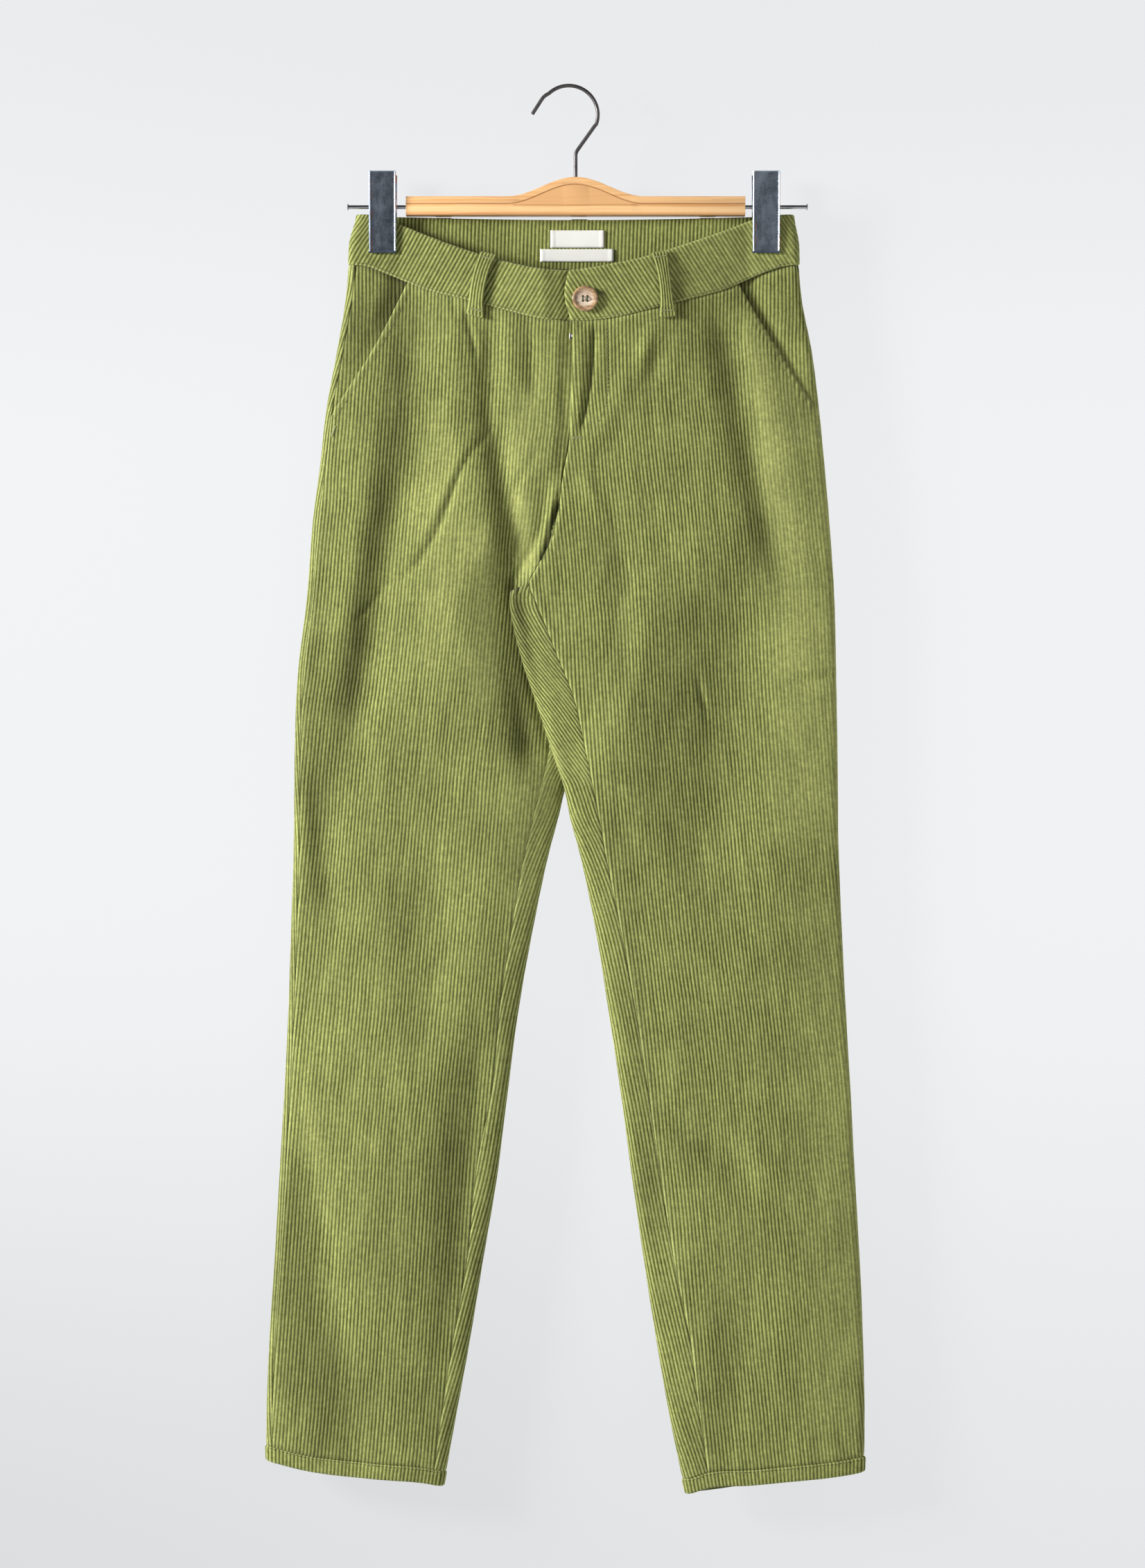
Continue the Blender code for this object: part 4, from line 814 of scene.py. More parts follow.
def make_front(side):
    """A front, from the side seam and the pocket mouth to the centre seam and the inside leg."""
    levels = np.append(np.arange(FRONT_TOP, LEG_LOW, -ROW), LEG_LOW)
    starts, ends = front_ends(side, levels)
    weave = cut_panel(side, "front", levels, levels, starts, ends, front_height)
    surface(weave, side).ridge(RIDGE)
    from_start, from_end = weave.from_ends()
    top, low = weave.from_rims()
    z = weave.points[..., 2]
    x, mouth = weave.points[..., 0], z > POCKETS.at[0] + 4
    outer = rounding(from_start, 2.6, np.where(mouth, 0.5, 0.7))
    inner = rounding(from_end, 2.4, np.where((z > CROTCH) & (side > 0), 0.35, 0.7))
    weave.lift += outer + inner + rounding(top, 2.4, 0.7) + rounding(low, 1.8, 0.4)
    bead = np.where(mouth, 0.45, 0) * bell(from_start - 2.0, 1.5)
    sewn = np.where(mouth, from_route(pocket_line(side), x, z)[0], 99.0)
    if side > 0:
        bead += np.where(z > CROTCH, 0.55, 0.2) * bell(from_end - 1.7, 1.3)
        sewn = np.minimum(sewn, from_route(np.array(FLY_STITCH), x, z)[0])
    weave.lift += bead - 0.42 * bell(sewn, 1.3)
    weave.wear = (1 - ease(weave.from_edge() / 5)) * (1 - 0.6 * ease((30 - np.abs(x)) / 10))
    # Painted shade along the valleys of the stitching.
    weave.nap -= 0.22 * bell(sewn, 1.0)
    return woven(f"front_{name_of(side)}_cloth", weave, CLOTH, flip=side < 0, coarse=6)


def make_back(side):
    """A back, from the side seam round the seat and the inner fold to the inside leg seam."""
    highs, lows, ends = back_rows(side)
    starts = np.full_like(highs, -OUTER_SEAM[side] + SEAM / 2)
    weave = cut_panel(side, "back", highs, lows, starts, ends, back_height)
    surface(weave, side).ridge(RIDGE)
    from_start, from_end = weave.from_ends()
    top, low = weave.from_rims()
    weave.lift += rounding(from_start, 2.2, 0.5) + rounding(from_end, 2.4, 0.8)
    weave.lift += rounding(top, 2.4, 0.7) + rounding(low, 1.8, 0.4)
    weave.wear = 1 - ease(weave.from_edge() / 5)
    return woven(f"back_{name_of(side)}_cloth", weave, CLOTH, flip=side > 0, coarse=8)


def make_pocket_facing(side):
    """The hip piece that shows in the pocket mouth. It runs a little way under the front."""
    levels = np.append(np.arange(FRONT_TOP, FACING_END, -ROW), FACING_END)
    inner = levels
    for _ in range(4):
        starts = np.full_like(levels, OUTER_SEAM[side] + SEAM / 2)
        mouth = arc_of(side, "front", POCKETS(name_of(side), inner), inner)
        ends = np.maximum(mouth, starts) + FACING_UNDER
        inner = front_height(levels, place(side, "front", ends, inner)[:, 0])
    weave = cut_panel(side, "front", levels, levels, starts, ends, facing_height)
    surface(weave, side).ridge(RIDGE)
    from_start, from_end = weave.from_ends()
    top, _ = weave.from_rims()
    drop = POCKET_DROP * (1 - 0.85 * ease((from_end - 15) / 14) * (1 - 0.4 * ease(1 - top / 16)))
    weave.lift += rounding(from_start, 2.2, 0.35) + rounding(top, 2.4, 0.5) - drop
    weave.back -= drop
    weave.wear = 0.6 * (1 - ease(np.minimum(from_start, top) / 5))
    # Painted shadow that the front casts on the facing inside the mouth, wider on the left.
    reach = 22 if side < 0 else 4
    weave.nap -= 0.60 * np.exp(-np.maximum(from_end - 12, 0) / reach) * ease(1.4 - top / 60)
    return woven(f"pocket_facing_{name_of(side)}_cloth", weave, FACING, flip=side < 0, coarse=4)


def facing_height(level, x):
    top = WAIST("front_seam", x) - SEAM - 0.3
    return level + (top - FRONT_TOP) * (level - FACING_END) / (FRONT_TOP - FACING_END)


# ---- waistband
UNDER_END = 20.6  # x where the lower half of the front ends, under the other
BAND_SHARES = np.concatenate([[0, 0.012, 0.03, 0.055], np.linspace(0.09, 0.91, 12), [0.945, 0.97, 0.988, 1]])


def band_front(side, end_x, slant, name, rise):
    """One front of the waistband. Its ribs lean by a slant, and rise lifts it off the form."""
    pitch = BAND_RIB * math.hypot(1, slant(1) - slant(0))
    share = BAND_SHARES[:, None]
    start, edge = np.full(len(BAND_SHARES), SEAM / 2), end_x(BAND_SHARES)
    top, low = WAIST("front_top", edge), WAIST("front_seam", edge)
    height = top + (low - top) * BAND_SHARES
    ends = arc_of(side, "front", edge, height)
    step = pitch / RIB_STEPS
    shift = grain(side, "front", height) + slant(height)
    ribs = np.arange((start - shift).min() // step - 60, (ends - shift).max() // step + 60) * step
    z = np.broadcast_to(height[:, None], (len(height), len(ribs)))
    starts = start[:, None]
    for _ in range(5):
        arcs = np.clip(ribs[None, :] + grain(side, "front", z) + slant(z), starts, ends[:, None])
        x = place(side, "front", arcs, z)[..., 0]
        top, low = WAIST("front_top", x), WAIST("front_seam", x)
        z = top + (low - top) * share
    first, last = used_columns(arcs, starts, ends[:, None])
    keep = slice(first.min(), last.max() + 1)
    arcs, z, first, last = arcs[:, keep], z[:, keep], first - first.min(), last - first.min()
    rows = np.arange(len(first))
    arcs[rows, first], arcs[rows, last] = start, ends
    points, normals = pinched(place(side, "front", arcs, z)), outward(side, "front", arcs, z)
    weave = Weave(points, normals, (arcs - grain(side, "front", z) - slant(z)) / pitch, -z, first, last)
    weave.ridge(RIDGE)
    x = points[..., 0]
    weave.lift += 0.22 * soft_noise(51 + side, 22, 16, x, z) + 0.12 * soft_noise(57 + side, 8, 7, x, z)
    weave.lift += rise(x)
    from_start, from_end = weave.from_ends()
    top, low = weave.from_rims()
    weave.lift += rounding(top, 1.5, 1.1) + rounding(low, 1.3, 0.8)
    weave.lift += rounding(from_start, 1.6, 0.9) + rounding(from_end, 1.5, 1.0)
    weave.back = weave.back + rise(x) - rounding(top, 1.5, 0.8)
    weave.wear = np.maximum(1 - ease(top / 2.4), 1 - ease(low / 3))
    # Painted light and shade: the left front darker towards its outer end, the right front lighter towards
    # its outer end.
    painted_band_shading = 0.06 - 0.16 * ease((-40 - x) / 60) if side < 0 else 0.05 + 0.13 * ease((x - 50) / 60)
    weave.nap = weave.nap + painted_band_shading
    return woven(name, weave, BAND, flip=side < 0)


def pinched(points):
    """Draws the upper corners of the waistband in."""
    x, z = points[..., 0], points[..., 2]
    share = ease((z + 126) / 27) * ease((np.abs(x) - 150) / 26)
    points[..., 0] = x + np.where(x < 0, 5.0, -3.8) * share
    return points


def tab_edge(share):
    """The rounded end of the overlapping half: x by the share of the band's depth."""
    return -4.7 - 4.1 * np.sin(np.pi * np.clip(share * 1.12, 0, 1)) ** 0.9


def make_waistband_fronts():
    under = band_front(
        -1, lambda share: np.full_like(share, UNDER_END), lambda z: 0.56 * (z + 150),
        "waistband_front_left_cloth", lambda x: PROUD - 2.2 * ease((x + 26) / 12),
    )
    over = band_front(
        1, tab_edge, lambda z: 0.66 * (z + 150), "waistband_front_right_cloth", lambda x: PROUD + 0 * x
    )
    return under, over


def make_waistband_back():
    share = BAND_SHARES[:, None]
    step = BACK_BAND_RIB / RIB_STEPS
    count = int(355 / step)
    part = np.linspace(0, 1, count)[None, :]
    z = np.full((len(share), count), -120.0)
    for _ in range(3):
        middle = RISES("back", z[:, 0])
        left = arc_of(-1, "back", middle, z[:, 0])[:, None]
        right = arc_of(1, "back", middle, z[:, 0])[:, None]
        run = SEAM / 2 + (left + right - SEAM) * part
        on_left = run < left
        arcs = np.where(on_left, run, left + right - run)
        points = np.where(on_left[..., None], place(-1, "back", arcs, z), place(1, "back", arcs, z))
        top, low = WAIST("back_top", points[..., 0]), WAIST("back_seam", points[..., 0])
        z = top + (low - top) * share
    normals = np.where(on_left[..., None], outward(-1, "back", arcs, z), outward(1, "back", arcs, z))
    weave = Weave(pinched(points), normals, run / BACK_BAND_RIB, -z)
    ribs = (rib_height(weave.ribs) - 0.5) * RIDGE
    waves = 0.22 * soft_noise(61, 22, 16, points[..., 0], z)
    top, low = weave.from_rims()
    first, last = weave.from_ends()
    shape = rounding(top, 1.5, 1.1) + rounding(low, 1.3, 0.8) + rounding(np.minimum(first, last), 1.6, 0.9)
    weave.lift = PROUD + ribs + waves + shape
    weave.back = PROUD - ribs + 0.8 * waves - shape
    weave.wear = np.maximum(1 - ease(top / 2.4), 1 - ease(low / 3))
    return woven("waistband_back_cloth", weave, BAND, coarse=1, inside_plain=False)


# ---- hems
def make_hem(side):
    """The turned-up end of a leg: the ribs of both walls run on round its lower fold."""
    shares = np.array([1, 0.985, 0.94, 0.86, 0.72, 0.56, 0.4, 0.27, 0.16, 0.08, 0.03, 0.0])
    parts = []
    for wall in ("front", "back"):
        middle = float(rail_end(side, wall, HEM_LEVEL))
        offset = float(grain(side, wall, HEM_LEVEL))
        ribs = np.arange(np.ceil(-offset / RIB * 4), (middle - offset) / RIB * 4) / 4 * RIB
        run = np.concatenate([[0], ribs + offset, [middle]])
        run = run[np.concatenate([[True], np.diff(run) > 0.12])]
        run = run if wall == "front" else run[1:-1][::-1]
        z = np.full((len(shares), len(run)), HEM_LEVEL)
        for _ in range(4):
            arcs = run[None, :] * rail_end(side, wall, z) / middle
            x = place(side, wall, arcs, z)[..., 0]
            z = HEMS(wall, x) + HEM_DEPTH * shares[:, None]
        ribs = (run - offset) / RIB + 0 * z
        parts.append((place(side, wall, arcs, z), outward(side, wall, arcs, z), ribs, z))
    points, normals, ribs, z = (np.concatenate(pair, axis=1) for pair in zip(*parts))
    weave = Weave(points, normals, ribs, -z).ridge(RIDGE)
    top, low = weave.from_rims()
    weave.lift += HEM_PROUD + rounding(top, 1.6, 1.0) + rounding(low, 1.7, 1.3)
    weave.lift += 0.18 * soft_noise(71 + side, 15, 9, points[..., 0], z)
    weave.back = HEM_PROUD - rounding(low, 1.7, 1.2)
    weave.wear = np.maximum(0.7 * (1 - ease(top / 2)), 1 - ease(low / 2.2))
    return woven(f"hem_{name_of(side)}_cloth", weave, HEM, loop=True, flip=side < 0)


# ---- belt loops and labels
LOOP_WIDTH, LOOP_CLOTH = 12.5, 2.4
# Belt loops: name, wall, upper end, lower end (x, z), how far each side of the foot flares, how far
# its middle is drawn aside and how much narrower each side is there.
BELT_LOOPS = (
    ("front_left", "front", (-67.4, -132.0), (-78.6, -181.6), 0.8, -2.8, 0.5),
    ("front_right", "front", (65.0, -131.0), (71.9, -182.6), 0.6, 1.2, 1.7),
    ("back_left", "back", (-104.0, -100.8), (-104.0, -150.5), 0.4, 0.6, 0.5),
    ("back_middle", "back", (3.0, -101.6), (3.0, -152.5), 0.4, -0.5, 0.6),
    ("back_right", "back", (104.0, -100.8), (104.0, -150.5), 0.4, 0.4, 0.4),
)
# Woven labels on the inside of the back: name, left end, right end, upper edge, lower edge.
LABELS = (("label_upper", -19.9, 22.6, -111.0, -124.6), ("label_lower", -28.0, 30.0, -125.8, -135.6))
BARTACK_UP = 5.2  # height of a loop's bartack above its foot


def corner_cut(distance, radius):
    """How much a rounded corner takes off a half width, by the distance from the end."""
    return radius * (1 - np.sqrt(1 - np.clip(1 - distance / radius, 0, 1) ** 2))


def loop_lift(share, run):
    """How high the middle of a belt loop stands above the waistband's form."""
    tack, upper = bell((1 - share) * run - BARTACK_UP, 1.9), bell(share * run - 4.0, 1.6)
    return PROUD + 0.4 + LOOP_CLOTH + 1.6 * np.sin(np.pi * share) - 0.75 * tack - 0.45 * upper


def make_belt_loop(name, wall, top, low, flare, aside, waist):
    """A strip of the same cloth, tacked down at both ends and standing off between them."""
    ends = [0, 0.004, 0.012, 0.025, 0.045]
    t = np.concatenate([ends, np.linspace(0.07, 0.93, 30), 1 - np.array(ends[::-1])])[:, None]
    run = math.dist(top, low)
    across = np.linspace(-1, 1, 5 * RIB_STEPS + 1)[None, :]
    flared = flare * (ease((t - 0.74) / 0.24) + 0.6 * ease((0.16 - t) / 0.16))
    half = LOOP_WIDTH / 2 + flared - waist * np.sin(np.pi * t)
    half = half - corner_cut((1 - t) * run, 2.2) - corner_cut(t * run, 0.8)
    along = ((low[0] - top[0]) / run, (low[1] - top[1]) / run)
    x = top[0] + t * (low[0] - top[0]) - across * half * along[1] + aside * np.sin(np.pi * t**0.8)
    z = top[1] + t * (low[1] - top[1]) + across * half * along[0]
    points, normals = skin(wall, x, z)
    weave = Weave(points, normals, 2.5 * (across + 1) + 0 * t, t * run + 0 * across)
    weave.ridge(0.34)
    side = (1 - np.abs(across)) * half
    base = loop_lift(t, run) + 0 * across
    round_side = rounding(side, 1.4, 0.9) + rounding(np.minimum(t, 1 - t) * run, 1.2, 0.8)
    weave.lift += base + round_side + 0.16 * soft_noise(91, 7, 6, x, z)
    weave.back = base - round_side * 0.7
    weave.wear = 1 - ease(np.minimum(side / 1.8, np.minimum(t, 1 - t) * run / 2.6)) + 0 * side
    return woven(f"belt_loop_{name}_cloth", weave, LOOP_CLOTH, flip=wall == "front", coarse=5)


def make_label(name, left, right, top, low):
    """A bare woven label with its ends folded under."""
    x = np.linspace(left, right, 46)[None, :]
    z = np.linspace(top, low, 15)[:, None]
    points, normals = skin("back", x + 0 * z, z + 0 * x)
    weave = Weave(points, -normals, (x - left) / RIB + 0 * z, top - z + 0 * x)
    ends = np.minimum(x - left, right - x) + 0 * z
    rims = np.minimum(top - z, z - low) + 0 * x
    weave.lift = BAND - PROUD + 0.35 + 1.0 + 0.22 * (1 - ease((ends - 3.2) / 0.5))
    weave.lift = weave.lift + 0.16 * soft_noise(95, 9, 7, x + 0 * z, z + 0 * x)
    weave.lift += rounding(ends, 0.9, 0.45) + rounding(rims, 0.9, 0.45)
    weave.back = np.full_like(weave.lift, BAND - PROUD + 1.35)
    return woven(f"{name}_tape", weave, 1.0, coarse=5, flip=True, inside_plain=False, finish="woven_label")


# ---- thread
THREAD = 0.26  # half the thickness of the sewing thread


class Threads:
    """Short rounded strokes of thread, gathered into one mesh."""

    RINGS = ((-1.0, 0.25), (-0.8, 0.85), (0.0, 1.0), (0.8, 0.85), (1.0, 0.25))
    SIDES = 6

    def __init__(self):
        self.points, self.faces = [], []

    def stroke(self, start, end, normal, bow, radius=THREAD):
        """One stitch from start to end. Its middle stands up by the bow."""
        start, end, normal = (np.asarray(v, float) for v in (start, end, normal))
        along = end - start
        across = np.cross(along, normal)
        across /= np.linalg.norm(across)
        up = np.cross(across, along)
        up /= np.linalg.norm(up)
        first = sum(len(p) for p in self.points)
        for place_on, width in self.RINGS:
            middle = (start + end) / 2 + along * place_on / 2 + up * bow * (1 - place_on**2)
            turn = np.linspace(0, 2 * np.pi, self.SIDES, endpoint=False)[:, None]
            self.points.append(middle + radius * width * (np.cos(turn) * across + np.sin(turn) * up))
        n = self.SIDES
        for ring in range(len(self.RINGS) - 1):
            a, b = first + ring * n, first + (ring + 1) * n
            self.faces += [(a + j, b + j, b + (j + 1) % n, a + (j + 1) % n) for j in range(n)]
        last = first + (len(self.RINGS) - 1) * n
        self.faces += [tuple(first + j for j in range(n)), tuple(last + j for j in reversed(range(n)))]

    def seam(self, wall, route, lift, pitch=3.1, length=2.1):
        """A row of stitches along a line of (x, z) points on a wall, lifted off it or sunk into it by a lift.
        """
        route = np.array(route, float)
        steps = np.linalg.norm(np.diff(route, axis=0), axis=1)
        run = np.concatenate([[0], np.cumsum(steps)])
        middle = np.arange(pitch / 2, run[-1], pitch)
        (a, normals), (b, _) = (
            skin(wall, *(np.interp(middle + aside, run, column) for column in route.T))
            for aside in (-length / 2, length / 2)
        )
        for start, end, normal in zip(a, b, normals):
            self.stroke(start + normal * lift, end + normal * lift, normal, 0.3)

    def bartack(self, wall, start, end, width, lift, turns=14):
        """A dense zigzag of thread over a short line, as at the ends of a loop or a pocket."""
        start, end = np.array(start, float), np.array(end, float)
        along = (end - start) / np.linalg.norm(end - start)
        across = np.array([-along[1], along[0]]) * width / 2
        for i in range(turns):
            middle = start + (end - start) * (i + 0.5) / turns
            spots = np.array([middle - across, middle + across])
            points, normals = skin(wall, *spots.T)
            self.stroke(*(points + normals * lift), normals[0], 0.25)

    def made(self, name, finish):
        points = np.concatenate(self.points)
        piece = mesh_object(name, points, self.faces, finish)
        piece.data.shade_smooth()
        return piece


# ---- hand modelling
def begin(name, add, **how):
    """Adds a primitive in millimetres and opens it for editing, with nothing selected."""
    bpy.ops.object.select_all(action="DESELECT")
    for key in ("radius", "depth"):
        if key in how:
            how[key] *= MM
    for key in ("location", "scale"):
        if key in how:
            how[key] = [v * MM for v in how[key]]
    add(**how)
    piece = bpy.context.object
    piece.name = piece.data.name = name
    bpy.ops.object.transform_apply(location=True, rotation=True, scale=True)
    bpy.ops.object.mode_set(mode="EDIT")
    bpy.ops.mesh.select_all(action="DESELECT")
    return piece


def pick(piece, kind, test):
    """Selects the vertices, edges or faces whose middle (and normal) in millimetres pass a test."""
    bpy.ops.mesh.select_all(action="DESELECT")
    bpy.ops.mesh.select_mode(type=kind)
    form = bmesh.from_edit_mesh(piece.data)
    chosen = {"VERT": form.verts, "EDGE": form.edges, "FACE": form.faces}[kind]
    for part in chosen:
        if kind == "VERT":
            middle, normal = part.co, part.normal
        elif kind == "EDGE":
            middle, normal = (part.verts[0].co + part.verts[1].co) / 2, part.verts[1].co - part.verts[0].co
        else:
            middle, normal = part.calc_center_median(), part.normal
        if test(middle / MM, normal.normalized()):
            part.select_set(True)
    form.select_flush_mode()
    bmesh.update_edit_mesh(piece.data)


def move(x=0.0, y=0.0, z=0.0):
    bpy.ops.transform.translate(value=(x * MM, y * MM, z * MM))


def cut(at, normal):
    """Cuts a new line of edges all round a piece, through a point in millimetres."""
    bpy.ops.mesh.select_all(action="SELECT")
    bpy.ops.mesh.bisect(plane_co=Vector(at) * MM, plane_no=normal)
    bpy.ops.mesh.select_all(action="DESELECT")


def extrude(x=0.0, y=0.0, z=0.0):
    bpy.ops.mesh.extrude_region_move(TRANSFORM_OT_translate={"value": (x * MM, y * MM, z * MM)})


def inset(thickness, depth):
    bpy.ops.mesh.inset(thickness=thickness * MM, depth=depth * MM)


def smooth(piece, angle):
    bpy.ops.object.select_all(action="DESELECT")
    piece.select_set(True)
    bpy.ops.object.shade_smooth_by_angle(angle=math.radians(angle))


def close(piece, finish, angle=35.0):
    """Leaves edit mode, points the faces outward, smooths them and gives the finish."""
    bpy.ops.mesh.select_all(action="SELECT")
    bpy.ops.mesh.normals_make_consistent(inside=False)
    bpy.ops.object.mode_set(mode="OBJECT")
    piece.data.materials.clear()
    piece.data.materials.append(bpy.data.materials[finish])
    bpy.ops.object.shade_smooth_by_angle(angle=math.radians(angle))
    return piece


def apply_modifier(piece, kind, **values):
    bpy.ops.object.select_all(action="DESELECT")
    piece.select_set(True)
    bpy.context.view_layer.objects.active = piece
    extra = piece.modifiers.new("shaping", kind)
    for key, value in values.items():
        setattr(extra, key, value)
    bpy.ops.object.modifier_apply(modifier=extra.name)


def combine(piece, tool, operation):
    """Joins a tool that is open for editing to a piece, or cuts it out of it."""
    bpy.ops.object.mode_set(mode="OBJECT")
    apply_modifier(piece, "BOOLEAN", operation=operation, object=tool, solver="EXACT")
    bpy.data.objects.remove(tool, do_unlink=True)


def bevel(piece, width, segments, angle):
    """Rounds a piece's edges that turn by more than an angle."""
    apply_modifier(
        piece, "BEVEL", width=width * MM, segments=segments, limit_method="ANGLE", angle_limit=angle
    )


def drill(piece, holes):
    """Bores round holes: each is its middle, its radius, its length and the axis it runs along."""
    turns = {"X": (0, math.pi / 2, 0), "Z": (0, 0, 0)}
    for at, radius, length, axis in holes:
        tool = begin(
            "bore", bpy.ops.mesh.primitive_cylinder_add, vertices=24, radius=radius, depth=length,
            location=at, rotation=turns[axis],
        )
        combine(piece, tool, "DIFFERENCE")


def wire(name, route, radius, sides):
    """A round wire: a disc drawn out along a route of (x, z) points, mitred at each of them."""
    route = [Vector((x, 0, z)) for x, z in route]
    piece = begin(
        name, bpy.ops.mesh.primitive_circle_add, vertices=sides, radius=radius, fill_type="NGON",
        location=route[0],
    )
    bpy.ops.mesh.select_all(action="SELECT")
    facing = 0.0
    for i, (here, there) in enumerate(zip(route, route[1:])):
        step = there - here
        after = route[i + 2] - there if i + 2 < len(route) else step
        turn = math.atan2(step.x, step.z)
        turn += math.remainder(math.atan2(after.x, after.z) - turn, 2 * math.pi) / 2
        bpy.ops.mesh.extrude_region_move(TRANSFORM_OT_translate={"value": step * MM})
        bpy.ops.transform.rotate(
            value=-math.remainder(turn - facing, 2 * math.pi), orient_axis="Y", center_override=there * MM
        )
        facing = turn
    return piece


# ---- button and zip
BUTTON_AT, BUTTON_WIDTH, BUTTON_HOLES = (7.4, -168.0), 20.2, 1.75
BUTTON_UP = PROUD + 1.55  # the button's middle stands this far off the form
ZIP_AT = (-3.6, -197.0)
BUTTONHOLE = ((11.0, -162.2), (20.4, -163.9))


def to_skin(piece, x, z, lift):
    """Moves a piece modelled round the origin, facing +Z, onto the front of the waistband."""
    points, normals = skin("front", x, z)
    normal = Vector(normals)
    turn = Vector((0, 0, 1)).rotation_difference(normal).to_matrix().to_4x4()
    spin = Matrix.Rotation(math.pi, 4, "Z")
    piece.data.transform(Matrix.Translation(Vector(points + normals * lift) * MM) @ turn @ spin)
    return piece


def make_button():
    """A dished four-hole button with a rolled rim."""
    width = BUTTON_WIDTH / 2 - 0.9
    piece = begin("button_disc", bpy.ops.mesh.primitive_cylinder_add, vertices=64, radius=width, depth=1.6)
    steps = ((0.9, 0.5), (-0.25, 0.7), (-1.1, 0.35), (-1.1, -0.45), (-1.3, -0.75))
    pick(piece, "FACE", lambda middle, normal: normal.z > 0.9)
    for out, up in steps:
        scale = (width + out) / width
        extrude(z=up)
        bpy.ops.transform.resize(value=(scale, scale, 1), center_override=(0, 0, 0))
        width += out
    inset(1.7, -0.22)
    inset(1.6, -0.08)
    pick(piece, "FACE", lambda middle, normal: normal.z < -0.9)
    inset(2.0, 0.5)
    close(piece, "horn", 70)
    bevel(piece, 0.25, 2, 0.5)
    spots = [(x, z, 1.5) for x in (-BUTTON_HOLES, BUTTON_HOLES) for z in (-BUTTON_HOLES, BUTTON_HOLES)]
    drill(piece, [(spot, 0.95, 14, "Z") for spot in spots])
    smooth(piece, 40)
    return to_skin(piece, *BUTTON_AT, BUTTON_UP)


def button_spot(x, z, lift):
    """A point over the button, x and z away from its middle."""
    points, normals = skin("front", *BUTTON_AT)
    up = np.cross((1.0, 0, 0), normals)
    up *= np.sign(up[2])
    side = np.cross(normals, up) if np.cross(normals, up)[0] > 0 else np.cross(up, normals)
    return points + side * x + up * z + normals * (BUTTON_UP + lift), normals


def make_zip_slider():
    """The slider of the closed zip, of which only the tip shows beside the fly's edge."""
    piece = begin(
        "zip_slider_body", bpy.ops.mesh.primitive_cube_add, size=1, scale=(2.2, 1.1, 4.4), location=(0, 0, 0)
    )
    cut((0, 0, -1.0), (0, 0, 1))
    pick(piece, "VERT", lambda middle, normal: middle.z < -1.8)
    bpy.ops.transform.resize(value=(0.6, 0.8, 1), center_override=(0, 0, 0))
    pick(piece, "FACE", lambda middle, normal: normal.y < -0.9 and middle.z > 0)
    inset(0.6, -0.35)
    close(piece, "steel")
    bevel(piece, 0.3, 2, 0.6)
    points, normals = skin("front", *ZIP_AT)
    piece.data.transform(Matrix.Translation(Vector(points + normals * 0.3) * MM))
    return piece


# ---- hanger
BAR_ENDS, BAR_BOTTOM, BAR_TOP, HUMP_TOP = (-133.3, 133.2), -100.5, -85.8, -70.6
HUMP_REACH, BAR_DEPTH, GROOVE = 54.0, 12.0, -91.5
WIRE, ROD_RADIUS, ROD_Z, ROD_ENDS, ROD_INSERT = 1.5, 1.6, -93.4, (-179.5, 182.5), 11.0
HOOK_X, HOOK_Z, HOOK_RADIUS, STEM_DEPTH = -5.4, -20.8, 22.9, 12.0


def hump(x):
    return (HUMP_TOP - BAR_TOP) * 0.5 * (1 + math.cos(math.pi * max(-1.0, min(1.0, x / HUMP_REACH))))


def make_bar():
    """The wooden bar: a block cut across, its upper part raised into a low hump, with a fine groove."""
    left, right = BAR_ENDS
    piece = begin(
        "hanger_bar_wood", bpy.ops.mesh.primitive_cube_add, size=1,
        scale=(right - left, BAR_DEPTH, BAR_TOP - BAR_BOTTOM),
        location=((left + right) / 2, 0, (BAR_TOP + BAR_BOTTOM) / 2),
    )
    stations = np.linspace(-HUMP_REACH, HUMP_REACH, 37)
    for x in stations:
        cut((x, 0, 0), (1, 0, 0))
    for z in (GROOVE, GROOVE - 0.55, GROOVE + 0.55):
        cut((0, 0, z), (0, 0, 1))
    for x in stations[1:-1]:
        pick(piece, "VERT", lambda middle, normal: abs(middle.x - x) < 0.2 and middle.z > GROOVE - 1)
        move(z=hump(x))
    pick(
        piece, "VERT", lambda middle, normal: abs(abs(middle.y) - BAR_DEPTH / 2) < 0.01
        and abs(middle.z - GROOVE - hump(middle.x)) < 0.2,
    )
    bpy.ops.transform.resize(value=(1, 1 - 0.9 / BAR_DEPTH, 1), center_override=(0, 0, 0))

    def at_arris(middle, normal):
        rim = middle.z > BAR_TOP + hump(middle.x) - 0.5 or middle.z < BAR_BOTTOM + 0.2
        along = abs(normal.x) > 0.7 and abs(middle.y) > BAR_DEPTH / 2 - 0.1
        return along and rim or min(abs(middle.x - left), abs(middle.x - right)) < 0.1

    pick(piece, "EDGE", at_arris)
    bpy.ops.mesh.bevel(offset=1.5 * MM, segments=4, affect="EDGES", clamp_overlap=True)
    close(piece, "wood", 40)
    drill(piece, [((0, 0, HUMP_TOP), WIRE + 0.3, 2 * STEM_DEPTH, "Z")]
          + [((x, 0, ROD_Z), ROD_RADIUS + 0.3, 2 * ROD_INSERT, "X") for x in BAR_ENDS])
    return piece


